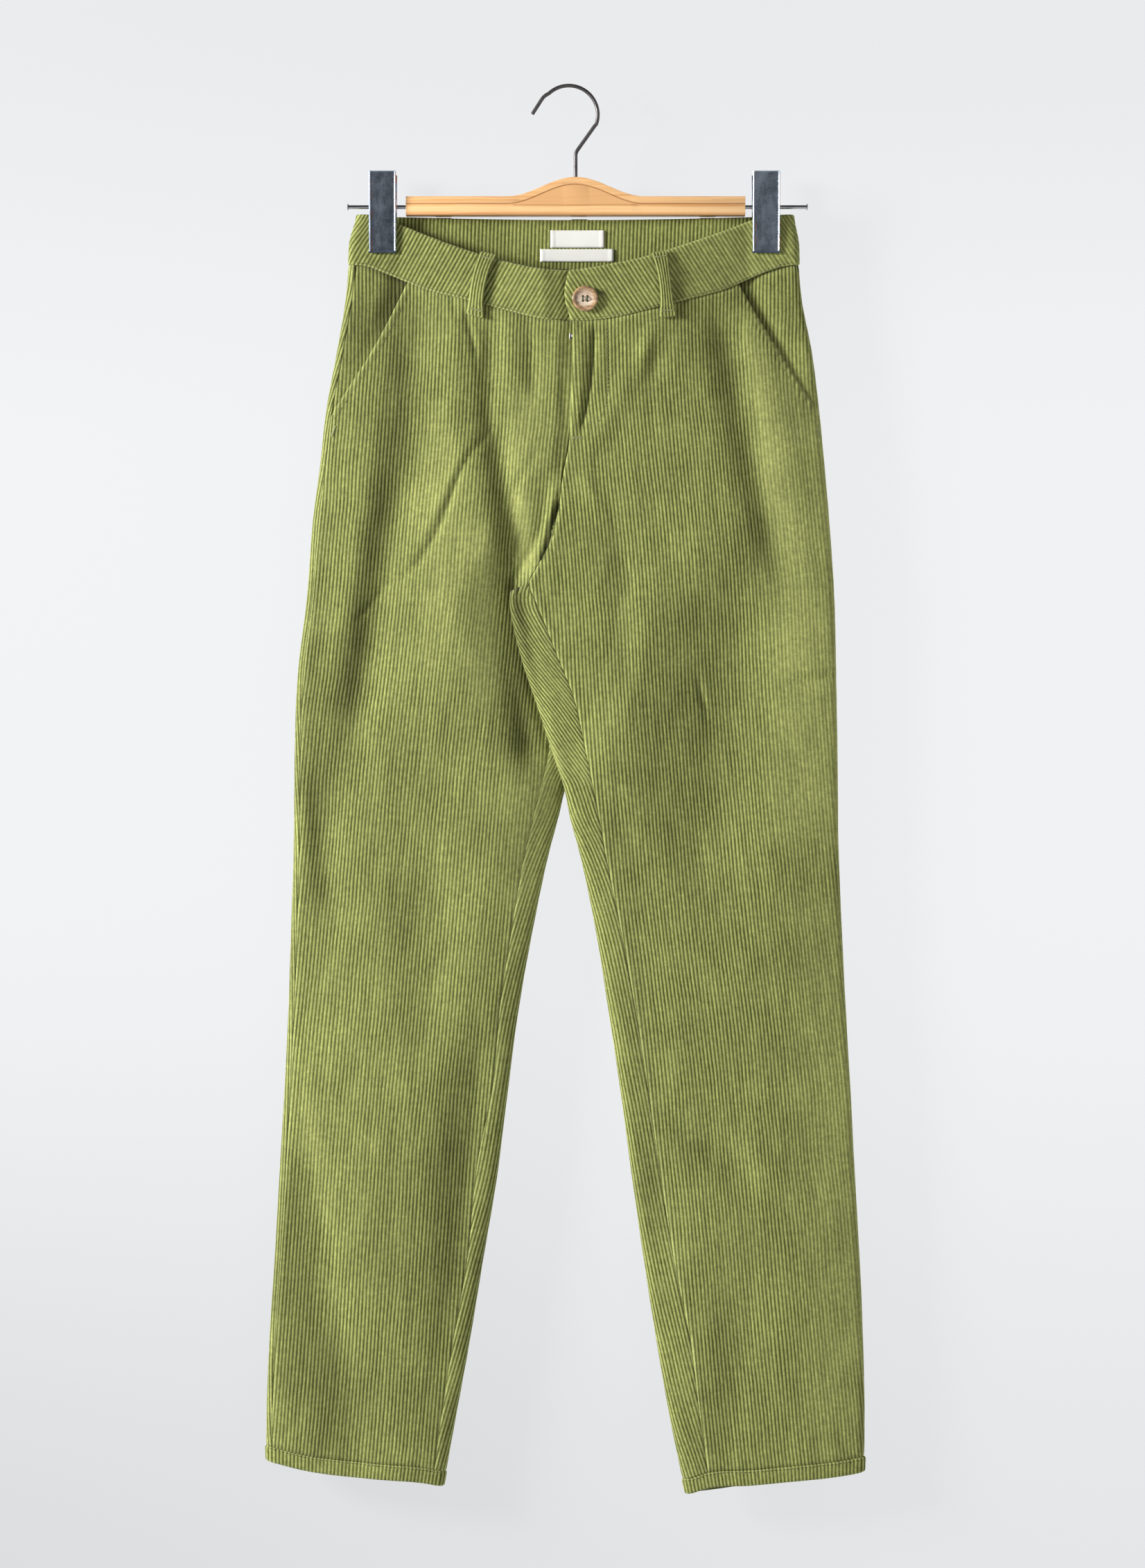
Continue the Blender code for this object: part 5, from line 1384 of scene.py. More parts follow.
def hook_route():
    """The hook from its foot in the bar, up the stem, over the crown and down to its open tip."""
    stem = [(0, HUMP_TOP - STEM_DEPTH + 0.4), (0, -62), (0, -52.6), (0.25, -51.2), (0.8, -49.8), (1.6, -48.4)]
    start, end = math.radians(-19), math.radians(133)
    angles = [start + (end - start) * i / 40 for i in range(41)]
    arc = [(HOOK_X + HOOK_RADIUS * math.cos(a), HOOK_Z + HOOK_RADIUS * math.sin(a)) for a in angles]
    neck = [(13.9, -31.2), (14.8, -29.9)]
    tip = [(-23.4, -5.4), (-25.4, -7.1), (-27.2, -9.6), (-34.1, -20.4)]
    return stem + neck + arc + tip


def make_hook():
    piece = wire("hanger_hook_wire", hook_route(), WIRE, 20)
    close(piece, "wire", 60)
    bevel(piece, 0.5, 3, math.radians(60))
    return piece


def make_rod(side):
    """A steel rod on which a clip slides. A nail head at its outer end keeps the clip on."""
    x_bar, x_end = (BAR_ENDS[0], ROD_ENDS[0]) if side < 0 else (BAR_ENDS[1], ROD_ENDS[1])
    inner = x_bar - side * (ROD_INSERT - 0.5)
    piece = begin(
        f"rod_{name_of(side)}_steel", bpy.ops.mesh.primitive_cylinder_add, vertices=24, radius=ROD_RADIUS,
        depth=abs(x_end - inner) - 1.2, rotation=(0, math.pi / 2, 0),
        location=((x_end - side * 1.2 + inner) / 2, 0, ROD_Z),
    )
    for grow, step in ((1.62, 0.3), (1.0, 0.55), (0.82, 0.35)):
        pick(piece, "FACE", lambda middle, normal: normal.x * side > 0.99 and abs(middle.y) < 0.1)
        extrude(x=side * step)
        bpy.ops.transform.resize(value=(1, grow, grow), center_override=(x_end * MM, 0, ROD_Z * MM))
    return close(piece, "steel", 40)


CLIP_X, CLIP_WIDTH, CLIP_TOP, CLIP_BOTTOM, PLATE = (-151.5, 149.6), 21.3, -66.8, -130.5, 1.0
CLIP_GRIP, CLIP_LEAN = EDGE + PROUD + 0.35, 5.0
EAR_PAST, EAR_HALF = 2.6, 4.6


def make_clip_plate(name, x, facing, ear):
    """One jaw of a clip: a pressed plate with rolled rims, bent in at its foot, with two ears for the rod."""
    near, far = CLIP_GRIP, CLIP_GRIP + PLATE
    piece = begin(
        name, bpy.ops.mesh.primitive_cube_add, size=1, scale=(CLIP_WIDTH, PLATE, CLIP_TOP - CLIP_BOTTOM),
        location=(x, facing * (near + far) / 2, (CLIP_TOP + CLIP_BOTTOM) / 2),
    )
    heights = [CLIP_BOTTOM + up for up in (1.4, 3.0, 12)] + [ROD_Z - EAR_HALF, ROD_Z + EAR_HALF, CLIP_TOP - 9]
    for z in heights:
        cut((x, 0, z), (0, 0, 1))
    for z in (CLIP_BOTTOM, *heights, CLIP_TOP):
        pick(piece, "VERT", lambda middle, normal: abs(middle.z - z) < 0.05)
        lean = CLIP_LEAN * max(0.0, (z - CLIP_BOTTOM - 3) / (CLIP_TOP - CLIP_BOTTOM - 3))
        move(y=facing * (lean + 1.2 * max(0.0, 1 - (z - CLIP_BOTTOM) / 3.0) ** 2))
    pick(piece, "FACE", lambda middle, normal: normal.y * facing > 0.9)
    inset(0.8, 0.8)
    bpy.ops.transform.resize(value=(1, 1, 1.032))
    inset(0.4, -0.8)
    close(piece, "chrome", 30)
    bevel(piece, 0.16, 2, math.radians(50))
    bend = near + CLIP_LEAN * (ROD_Z - CLIP_BOTTOM) / (CLIP_TOP - CLIP_BOTTOM)
    for sign in (-1, 1):
        inner, outer = -EAR_PAST, bend + PLATE * 0.6
        side = begin(
            "ear", bpy.ops.mesh.primitive_cube_add, size=1, scale=(PLATE, outer - inner, 2 * EAR_HALF),
            location=(x + sign * (ear + PLATE / 2), facing * (outer + inner) / 2, ROD_Z),
        )
        pick(side, "EDGE", lambda middle, normal: abs(normal.x) > 0.9 and middle.y * facing < 0)
        bpy.ops.mesh.bevel(offset=3.2 * MM, segments=5, affect="EDGES", clamp_overlap=True)
        combine(piece, side, "UNION")
    drill(piece, [((x, 0, ROD_Z), ROD_RADIUS + 0.35, 40, "X")])
    smooth(piece, 30)
    return piece


def make_clip_spring(side, x):
    """The coil that closes a clip, round its rod."""
    length, turns, gauge = CLIP_WIDTH - 4 * PLATE - 1.6, 11, 0.68
    piece = begin(
        f"clip_spring_{name_of(side)}_coil", bpy.ops.mesh.primitive_circle_add, vertices=8, radius=gauge,
        location=(0, ROD_RADIUS + 0.5 + gauge, gauge), rotation=(0, math.pi / 2, 0),
    )
    bpy.ops.object.mode_set(mode="OBJECT")
    pitch = (length - 2 * gauge) / turns
    apply_modifier(
        piece, "SCREW", axis="Z", angle=2 * math.pi, screw_offset=pitch * MM, iterations=turns, steps=20,
        render_steps=20, use_merge_vertices=True, merge_threshold=0.00001,
    )
    bpy.ops.object.mode_set(mode="EDIT")
    pick(piece, "EDGE", lambda middle, normal: False)
    bpy.ops.mesh.select_non_manifold()
    bpy.ops.mesh.edge_face_add()
    close(piece, "steel", 60)
    start = x - length / 2
    piece.data.transform(
        Matrix.Translation(Vector((start, 0, ROD_Z)) * MM) @ Matrix.Rotation(math.pi / 2, 4, "Y")
    )
    return piece


# ---- stitching
def band_line(wall, xs):
    """Points along the waistband close to its lower edge."""
    top, low = WAIST(f"{wall}_top", xs), WAIST(f"{wall}_seam", xs)
    return np.stack([xs, top + (low - top) * 0.955], axis=1)


def pocket_line(side):
    """The line of stitching beside a pocket mouth."""
    heights = np.linspace(-160.0, -262.0, 40)
    xs = POCKETS(name_of(side), heights) - side * POCKET_STITCH
    return np.stack([xs, heights], axis=1)


def hem_line(side, wall):
    xs = np.linspace(FOLDS(name_of(side), -1080.0) + side * 3, SIDES(name_of(side), -1080.0) - side * 3, 60)
    return np.stack([xs, HEMS(wall, xs) + HEM_DEPTH - 1.0], axis=1)


# Bartacks at the feet of the pocket mouths and of the fly: start, end, width.
FRONT_BARTACKS = (
    ((-188.4, -266.0), (-191.4, -274.5), 2.0),
    ((189.5, -267.0), (191.8, -275.0), 2.0),
    ((-4.6, -276.0), (5.2, -276.6), 2.2),
)


def make_stitching():
    """Stitches in four meshes: the panels', the waistband's, the bartacks' and the buttonhole's."""
    panels, band, tacks = Threads(), Threads(), Threads()
    panels.seam("front", FLY_STITCH, -0.45)
    for side in (-1, 1):
        panels.seam("front", pocket_line(side), -0.42)
        for wall in ("front", "back"):
            panels.seam(wall, hem_line(side, wall), HEM_PROUD + 0.15, pitch=3.4, length=2.2)
    for wall, start, end, count in (("front", -173, -7, 60), ("front", -2, 170, 60), ("back", -172, 168, 90)):
        band.seam(wall, band_line(wall, np.linspace(start, end, count)), PROUD + 0.05)
    for _, wall, top, low, *_ in BELT_LOOPS:
        run = math.dist(top, low)
        along = np.array([(low[0] - top[0]) / run, (low[1] - top[1]) / run])
        across = np.array([along[1], -along[0]])
        for up, width in ((BARTACK_UP, 9.6), (run - 4.0, 9.6)):
            middle = np.array(low) - along * up
            lift = float(loop_lift(1 - up / run, run)) + 0.12
            tacks.bartack(wall, middle - across * width / 2, middle + across * width / 2, 1.5, lift)
    for start, end, width in FRONT_BARTACKS:
        tacks.bartack("front", start, end, width, 0.1)
    return [
        panels.made("panel_stitching", "sewing_thread"),
        band.made("waistband_stitching", "sewing_thread"),
        tacks.made("bartacks", "bartack_thread"),
        make_buttonhole(),
    ]


def hole_stitch(hole, start, end):
    """One stitch of the buttonhole, down from its slit to its edge."""
    points, normals = skin("front", *np.array([start, end]).T)
    hole.stroke(points[0] + normals[0] * 1.2, points[1] + normals[1] * 0.95, normals[0], 0.2, 0.3)


def make_buttonhole():
    """The end of the buttonhole that shows beside the button: a dense ring of thread round a slit."""
    hole = Threads()
    start, end = np.array(BUTTONHOLE)
    along = (end - start) / np.linalg.norm(end - start)
    across = np.array([-along[1], along[0]])
    for edge in (-1, 1):
        for i in range(26):
            spot = start + (end - start) * i / 25
            hole_stitch(hole, spot + across * edge * 0.15, spot + across * edge * 1.55)
    for i in range(9):
        angle = math.pi * (i / 8 - 0.5)
        way = along * math.cos(angle) + across * math.sin(angle)
        hole_stitch(hole, end + way * 0.2, end + way * 1.5)
    return hole.made("buttonhole_stitching", "sewing_thread")


def make_button_thread():
    """Two upright double strokes of dark thread through the four holes."""
    thread = Threads()
    for x in (-BUTTON_HOLES, BUTTON_HOLES):
        for shift in (-0.32, 0.0, 0.32):
            start, normal = button_spot(x + shift, -BUTTON_HOLES, 1.4)
            end, _ = button_spot(x + shift, BUTTON_HOLES, 1.4)
            thread.stroke(start, end, normal, 0.75, 0.27)
            for z, top in ((-BUTTON_HOLES, start), (BUTTON_HOLES, end)):
                thread.stroke(button_spot(x + shift, z, -0.6)[0], top, (0.0, 0.0, 1.0), 0.0, 0.27)
    return thread.made("button_thread_strokes", "button_thread")


# ---- finishes
class Graph:
    """Short way to add nodes to a material or a node group and join them."""

    def __init__(self, tree):
        self.tree = tree

    def node(self, kind, values=None, **settings):
        made = self.tree.nodes.new(kind)
        for key, value in settings.items():
            setattr(made, key, value)
        self.feed_all(made.inputs, values or {})
        return made

    def first(self, kind):
        """The first node of a kind that the tree came with."""
        return next(n for n in self.tree.nodes if n.type == kind)

    def feed(self, socket, value):
        if isinstance(value, bpy.types.NodeSocket):
            self.tree.links.new(value, socket)
        else:
            socket.default_value = value

    def feed_all(self, sockets, values):
        for key, value in values.items():
            self.feed(sockets[key], value)

    def math(self, operation, a, b=0.0):
        return self.node("ShaderNodeMath", {0: a, 1: b}, operation=operation).outputs[0]

    def share(self, value, low, high):
        """Spreads a value from 0 to 1 over low to high."""
        return self.span(value, 0.0, 1.0, low, high)

    def times(self, a, b):
        return self.math("MULTIPLY", a, b)

    def plus(self, a, b):
        return self.math("ADD", a, b)

    def away(self, a, b):
        """How far two values are apart, without a sign."""
        return self.math("ABSOLUTE", self.math("SUBTRACT", a, b))

    def span(self, value, low, high, to_low=0.0, to_high=1.0, smooth=False):
        made = self.node(
            "ShaderNodeMapRange",
            {"Value": value, "From Min": low, "From Max": high, "To Min": to_low, "To Max": to_high},
            interpolation_type="SMOOTHSTEP" if smooth else "LINEAR",
        )
        return made.outputs["Result"]

    def mix(self, share, a, b, blend="MIX"):
        made = self.node("ShaderNodeMix", data_type="RGBA", blend_type=blend)
        for socket, value in (("Factor", share), ("A", a), ("B", b)):
            kind = "VALUE" if socket == "Factor" else "RGBA"
            self.feed(next(s for s in made.inputs if s.name == socket and s.type == kind), value)
        return next(s for s in made.outputs if s.type == "RGBA")

    def noise(self, where, detail, roughness, stretch=None, scale=1.0):
        """Noise at a place, which may first be stretched along each axis."""
        if stretch is not None:
            where = self.node("ShaderNodeMapping", {"Vector": where, "Scale": stretch}).outputs["Vector"]
        values = {"Vector": where, "Scale": scale, "Detail": detail, "Roughness": roughness}
        return self.node("ShaderNodeTexNoise", values).outputs["Fac"]

    def bump(self, height, distance, strength):
        values = {"Height": height, "Distance": distance, "Strength": strength}
        return self.node("ShaderNodeBump", values).outputs["Normal"]

    def at_object(self):
        return self.node("ShaderNodeTexCoord").outputs["Object"]

    def parts(self, vector):
        return self.node("ShaderNodeSeparateXYZ", {0: vector}).outputs

    def grey(self, level):
        return self.node("ShaderNodeCombineXYZ", {0: level, 1: level, 2: level}).outputs[0]


def linear(red, green, blue):
    """Linear colour from the 0-255 numbers of a colour picker."""
    colour = (((c / 255 + 0.055) / 1.055) ** 2.4 if c > 10 else c / 255 / 12.92 for c in (red, green, blue))
    return (*colour, 1.0)


def fresh(kept, name, *kind):
    """A new material or node group in place of any earlier one with its name."""
    old = kept.get(name)
    if old:
        kept.remove(old)
    return kept.new(name, *kind)


def new_group(name, inputs, outputs):
    """A shared effect: a node group with named inputs, which have values, and named outputs."""
    tree = fresh(bpy.data.node_groups, name, "ShaderNodeTree")
    for label, value in inputs.items():
        socket = tree.interface.new_socket(name=label, in_out="INPUT", socket_type="NodeSocketFloat")
        socket.default_value = value
    for label in outputs:
        tree.interface.new_socket(name=label, in_out="OUTPUT", socket_type="NodeSocketFloat")
    graph = Graph(tree)
    return graph, graph.node("NodeGroupInput").outputs, graph.node("NodeGroupOutput").inputs


def mottle_group():
    """Soft variation of a surface: broad patches and fine specks, each from 0 to 1."""
    graph, given, result = new_group(
        "Mottle",
        {"Patch scale": 20.0, "Speck scale": 900.0},
        ["Patches", "Specks"],
    )
    where = graph.at_object()
    patches = graph.noise(where, 3.0, 0.55, scale=given["Patch scale"])
    specks = graph.noise(where, 2.0, 0.6, scale=given["Speck scale"])
    graph.feed(result["Patches"], graph.span(patches, 0.3, 0.7))
    graph.feed(result["Specks"], graph.span(specks, 0.3, 0.7))


def ribs_group():
    """The ribs of corduroy from the piece's own UV map: u counts ribs and v counts rib widths down."""
    graph, given, result = new_group(
        "Corduroy ribs",
        {"Wander": 0.10, "Pile scale": 2.6},
        ["Height", "Crest", "Pile", "Streak", "Scuff", "Tuft"],
    )
    uv = graph.node("ShaderNodeUVMap", uv_map="UVMap").outputs["UV"]
    parts = graph.parts(uv)
    u, v = parts["X"], parts["Y"]
    sway = graph.noise(uv, 2.0, 0.5, (0.8, 0.35, 1))
    shift = graph.times(graph.math("SUBTRACT", sway, 0.5), given["Wander"])
    rib = graph.math("COSINE", graph.times(graph.plus(u, shift), 2 * math.pi))
    open_ = graph.noise(uv, 2.0, 0.6, (0.45, 0.16, 1))
    rubbed = graph.noise(uv, 3.0, 0.6, (0.16, 0.10, 1))
    groove = graph.times(graph.span(open_, 0.3, 0.7, 0.50, 0.45), graph.span(rubbed, 0.40, 0.75, 1.0, 0.75))
    profile = graph.math("SUBTRACT", 1.0, graph.times(graph.plus(rib, 1.0), groove))
    tuft = graph.noise(uv, 3.0, 0.7, (0.85, 0.62, 1))
    pile = graph.noise(uv, 4.0, 0.7, (1.3, 0.8, 1), given["Pile scale"])
    number = graph.math("FLOOR", u)
    lane = graph.node("ShaderNodeCombineXYZ", {0: number, 1: graph.times(v, 0.05)}).outputs[0]
    streak = graph.noise(lane, 1.0, 0.5, (7.31, 1, 1))
    scuff = graph.noise(uv, 3.0, 0.62, (0.22, 1.5, 1))
    height = graph.plus(profile, graph.times(graph.math("SUBTRACT", pile, 0.5), 0.8))
    graph.feed(result["Height"], height)
    graph.feed(result["Crest"], profile)
    for name, value, low, high in (
        ("Pile", pile, 0.3, 0.7), ("Streak", streak, 0.3, 0.7), ("Scuff", scuff, 0.56, 0.78),
        ("Tuft", tuft, 0.3, 0.7),
    ):
        graph.feed(result[name], graph.span(value, low, high))


def new_finish(name):
    """A fresh material. Returns its graph and its shader's inputs."""
    made = fresh(bpy.data.materials, name)
    made.use_nodes = True
    graph = Graph(made.node_tree)
    return graph, graph.first("BSDF_PRINCIPLED").inputs


def use_group(graph, name, **values):
    made = graph.node("ShaderNodeGroup")
    made.node_tree = bpy.data.node_groups[name]
    for key, value in values.items():
        made.inputs[key.replace("_", " ")].default_value = value
    return made.outputs


def corduroy(cloth):
    """Ribbed cotton: dark grooves, light fuzzy crests, worn paler at the edges and seams, with painted light
    and shade carried by an attribute of the cloth.
    """
    graph, shader = new_finish("corduroy")
    ribs = use_group(graph, "Corduroy ribs", Wander=0.12, Pile_scale=2.6)
    mottle = use_group(graph, "Mottle", Patch_scale=17.0, Speck_scale=420.0)
    wear = graph.node("ShaderNodeAttribute", attribute_name="wear").outputs["Fac"]
    outside = graph.span(wear, -0.6, -0.4)
    worn = graph.span(wear, 0.0, 1.0)
    nap = graph.node("ShaderNodeAttribute", attribute_name="nap").outputs["Fac"]
    # Painted light: where the painted shading is above 0, the grooves take the crests' colour.
    crest = graph.mix(graph.span(nap, 0.0, 0.4, 0.0, 0.65), ribs["Crest"], (1, 1, 1, 1))
    colour = graph.mix(crest, cloth.groove, cloth.crest)
    tone = graph.share(ribs["Pile"], 0.84, 1.13)
    for mask, low, high in (
        (ribs["Scuff"], 0.98, 1.22), (ribs["Streak"], 0.88, 1.10), (ribs["Tuft"], 0.76, 1.25),
        (mottle["Patches"], 0.88, 1.10), (mottle["Specks"], 0.95, 1.05),
    ):
        tone = graph.times(tone, graph.share(mask, low, high))
    # Painted shade: where it is below 0, the whole colour darkens.
    tone = graph.times(tone, graph.span(nap, -0.8, 0.0, 0.2, 1.0))
    colour = graph.mix(graph.times(graph.times(worn, crest), 0.45), colour, cloth.worn)
    ribbed = graph.mix(1.0, colour, graph.grey(tone), "MULTIPLY")
    colour = graph.mix(outside, cloth.inside, ribbed)
    graph.feed_all(shader, {
        "Base Color": colour,
        "Roughness": graph.share(ribs["Pile"], 0.82, 0.98),
        "Specular IOR Level": 0.12,
        "Sheen Weight": 0.22,
        "Sheen Roughness": 0.45,
        "Sheen Tint": (0.86, 0.88, 0.66, 1),
    })
    height = graph.times(ribs["Height"], outside)
    graph.feed(shader["Normal"], graph.bump(height, cloth.relief, 0.8))


def woven_tape():
    """Bare white label tape with a fine weave."""
    graph, shader = new_finish("woven_label")
    uv = graph.node("ShaderNodeUVMap", uv_map="UVMap").outputs["UV"]
    parts = graph.parts(uv)
    warp, weft = (graph.math("ABSOLUTE", graph.math("SINE", graph.times(parts[k], 26.0))) for k in ("X", "Y"))
    weave = graph.times(warp, graph.plus(graph.times(weft, 0.6), 0.4))
    mottle = use_group(graph, "Mottle", Patch_scale=120.0, Speck_scale=2400.0)
    colour = graph.mix(weave, linear(222, 222, 214), linear(250, 250, 246))
    colour = graph.mix(graph.times(mottle["Patches"], 0.25), colour, linear(236, 234, 222))
    graph.feed_all(shader, {
        "Base Color": colour,
        "Roughness": graph.share(mottle["Specks"], 0.62, 0.80),
        "Sheen Weight": 0.15,
        "Normal": graph.bump(weave, 0.0001, 0.6),
    })


def thread_finish(name, colour, shade):
    """Twisted sewing thread."""
    graph, shader = new_finish(name)
    mottle = use_group(graph, "Mottle", Patch_scale=60.0, Speck_scale=3200.0)
    graph.feed_all(shader, {
        "Base Color": graph.mix(mottle["Specks"], shade, colour),
        "Roughness": graph.share(mottle["Patches"], 0.55, 0.8),
        "Sheen Weight": 0.2,
        "Normal": graph.bump(mottle["Specks"], 0.00012, 0.6),
    })


def horn(trim):
    """Polished horn-like plastic with smoky streaks and a paler dished middle."""
    graph, shader = new_finish("horn")
    where = graph.at_object()
    swirl = graph.noise(where, 4.0, 0.6, (150, 150, 420))
    mottle = use_group(graph, "Mottle", Patch_scale=95.0, Speck_scale=900.0)
    middle = graph.node("ShaderNodeVectorMath", operation="DISTANCE")
    points, normals = skin("front", *BUTTON_AT)
    graph.feed(middle.inputs[0], where)
    middle.inputs[1].default_value = (points + normals * (PROUD + 3.0)) * MM
    ring = graph.span(middle.outputs["Value"], 0.0052, 0.0076, smooth=True)
    pale = graph.mix(graph.span(swirl, 0.35, 0.7), trim.button_middle, linear(176, 148, 122))
    dark = graph.mix(graph.span(swirl, 0.3, 0.7), trim.button_rim, linear(112, 84, 58))
    colour = graph.mix(ring, pale, dark)
    graph.feed_all(shader, {
        "Base Color": colour,
        "Roughness": graph.share(mottle["Patches"], 0.22, 0.38),
        "Coat Weight": 0.35,
        "Coat Roughness": 0.12,
        "Normal": graph.bump(mottle["Specks"], 0.00005, 0.4),
    })


# Metres: a clip's middle, and how far from it its bare rim starts and ends.
RIM_MIDDLE, RIM_INNER, RIM_OUTER = 0.1506, (0.0088, 0.0093), (0.0101, 0.0096)


def metal(name, colour, shade, rough, scratch_axis=(40, 900, 900), bare=0.0):
    """Plated steel with fine scratches, small stains and a little uneven polish."""
    graph, shader = new_finish(name)
    where = graph.at_object()
    scratch = graph.noise(where, 4.0, 0.7, scratch_axis)
    mottle = use_group(graph, "Mottle", Patch_scale=140.0, Speck_scale=1800.0)
    plate = graph.mix(graph.span(mottle["Patches"], 0.3, 0.9, 0.0, 0.45), colour, shade)
    along = graph.parts(where)["X"]
    rim = graph.away(graph.math("ABSOLUTE", along), RIM_MIDDLE)
    rim = graph.times(graph.span(rim, *RIM_INNER), graph.span(rim, *RIM_OUTER))
    rim = graph.times(rim, graph.span(mottle["Patches"], 0.4, 0.7, 0.0, bare))
    colour = graph.mix(rim, plate, linear(232, 160, 124))
    scratched = graph.span(scratch, 0.35, 0.7, rough, rough + 0.14)
    graph.feed_all(shader, {
        "Base Color": colour,
        "Metallic": 1.0,
        "Roughness": graph.plus(scratched, graph.span(mottle["Specks"], 0.6, 1.0, 0.0, 0.1)),
        "Normal": graph.bump(scratch, 0.000003, 0.1),
    })


# Metres: half the length and the lower edge of the lens under the hump, the upper and the lower edge of the
# pale strip below it, and where the painted shade on the bar's foot starts and is full.
LENS_HALF, LENS_LOW = 0.049, -0.0927
STRIP_TOP, STRIP_LOW, FOOT_SHADE = (-0.0936, -0.0942), (-0.0982, -0.0974), (-0.0982, -0.1000)


def wood(trim):
    """Varnished pale wood with long fine grain and a few darker growth lines, with painted shade on its foot
    and in its groove.
    """
    graph, shader = new_finish("wood")
    where = graph.at_object()
    bend = graph.noise(where, 2.0, 0.5, (9, 40, 40))
    bend = graph.node("ShaderNodeCombineXYZ", {2: graph.times(bend, 0.012)}).outputs[0]
    bent = graph.node("ShaderNodeVectorMath", operation="ADD")
    graph.feed(bent.inputs[0], where)
    graph.feed(bent.inputs[1], bend)
    lines = graph.noise(bent.outputs[0], 3.0, 0.6, (6, 160, 420))
    pores = graph.noise(where, 2.0, 0.6, (70, 1500, 1500))
    mottle = use_group(graph, "Mottle", Patch_scale=14.0, Speck_scale=600.0)
    colour = graph.mix(graph.span(lines, 0.42, 0.68, smooth=True), trim.wood, trim.wood_grain)
    colour = graph.mix(graph.span(pores, 0.62, 0.80, 0.0, 0.35), colour, linear(160, 104, 58))
    colour = graph.mix(graph.share(mottle["Patches"], 0.0, 0.22), colour, linear(222, 168, 112))
    at = graph.parts(where)
    aside = graph.math("ABSOLUTE", at["X"])
    reach = graph.math("MINIMUM", graph.math("DIVIDE", aside, HUMP_REACH * MM), 1.0)
    rise = graph.plus(graph.math("COSINE", graph.times(reach, math.pi)), 1.0)
    arc = graph.plus(graph.times(rise, (HUMP_TOP - BAR_TOP) * MM / 2), GROOVE * MM)
    inner = graph.math("LESS_THAN", aside, LENS_HALF)
    lens = graph.times(graph.math("LESS_THAN", at["Z"], arc), graph.math("GREATER_THAN", at["Z"], LENS_LOW))
    colour = graph.mix(graph.times(graph.times(lens, inner), 0.8), colour, trim.inset)
    strip = graph.times(graph.span(at["Z"], *STRIP_TOP), graph.span(at["Z"], *STRIP_LOW))
    colour = graph.mix(graph.times(strip, 0.55), colour, linear(250, 208, 152))
    # Painted shade: the bar darkens towards its foot, where the lower rounding turns away from the light.
    colour = graph.mix(graph.span(at["Z"], *FOOT_SHADE, 0.0, 0.75), colour, linear(186, 130, 82))
    # Dark lines along the groove and along the lens's lower edge: the joints' own darker colour, with painted
    # shade in the groove.
    upper = graph.span(graph.away(at["Z"], arc), 0.0003, 0.0008, 1.0, 0.0)
    lower = graph.span(graph.math("ABSOLUTE", graph.plus(at["Z"], -LENS_LOW)), 0.0002, 0.0006, 0.8, 0.0)
    scored_shade = graph.math("MAXIMUM", upper, graph.times(lower, inner))
    colour = graph.mix(graph.times(scored_shade, 0.6), colour, linear(150, 98, 54))
    graph.feed_all(shader, {
        "Base Color": colour,
        "Roughness": graph.span(lines, 0.3, 0.7, 0.30, 0.44),
        "Coat Weight": 0.25,
        "Coat Roughness": 0.2,
        "Normal": graph.bump(graph.plus(graph.times(pores, -0.6), lines), 0.00006, 0.5),
    })


# ---- settings
def colour_setting(name, description, value):
    return bpy.props.FloatVectorProperty(
        name=name, description=description, subtype="COLOR", size=4, min=0.0, max=1.0, default=linear(*value)
    )


def amount_setting(name, description, value, **kind):
    return bpy.props.FloatProperty(name=name, description=description, default=value, min=0.0, **kind)


class ChinosCloth(bpy.types.PropertyGroup):
    """Relief and colours of the corduroy and its threads."""

    relief: amount_setting("Pile relief", "Height of the fine relief of the pile", 0.00013, unit="LENGTH")
    crest: colour_setting("Crest", "Colour of the pile on the ribs", (163, 167, 100))
    groove: colour_setting("Groove", "Colour between the ribs", (58, 68, 17))
    worn: colour_setting("Worn pile", "Colour of rubbed edges and seams", (178, 184, 116))
    inside: colour_setting("Inside", "Colour of the plain back of the cloth", (92, 96, 52))
    thread: colour_setting("Thread", "Colour of the sewing thread", (118, 123, 68))
    bartack: colour_setting("Bartack", "Colour of the bartacks' thread", (176, 180, 124))


class ChinosTrim(bpy.types.PropertyGroup):
    """Colours of the button and of the hanger."""

    button_rim: colour_setting("Button rim", "Colour of the rolled rim", (196, 160, 118))
    button_middle: colour_setting("Button middle", "Colour of the dished middle", (226, 206, 182))
    wood: colour_setting("Wood", "Ground colour of the bar", (238, 190, 133))
    inset: colour_setting("Inset", "Colour of the lens-shaped piece under the bar's hump", (222, 170, 116))
    wood_grain: colour_setting("Wood grain", "Colour of the bar's grain", (220, 163, 104))
    steel: colour_setting("Steel", "Colour of the rods and springs", (186, 186, 188))
    wire: colour_setting("Wire", "Colour of the hook", (100, 96, 96))
    chrome: colour_setting("Chrome", "Colour of the clips' plating", (172, 184, 200))


class ChinosStage(bpy.types.PropertyGroup):
    """Light and surroundings."""

    backdrop: colour_setting("Backdrop", "Colour of the wall and the floor", (240, 241, 243))
    glow: amount_setting("Backdrop glow", "How far the backdrop is lit from behind", 0.895)
    key: amount_setting("Key light", "Strength of the main light", 200.0, unit="POWER")
    fill: amount_setting("Fill light", "Strength of the light from the right", 12.0, unit="POWER")
    sky: amount_setting("Surrounding light", "Strength of the light from all round", 0.14)


def dress(piece, node):
    """Ties a piece to the frame, in place of its solid."""
    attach(piece, "root")
    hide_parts(node)
    return piece


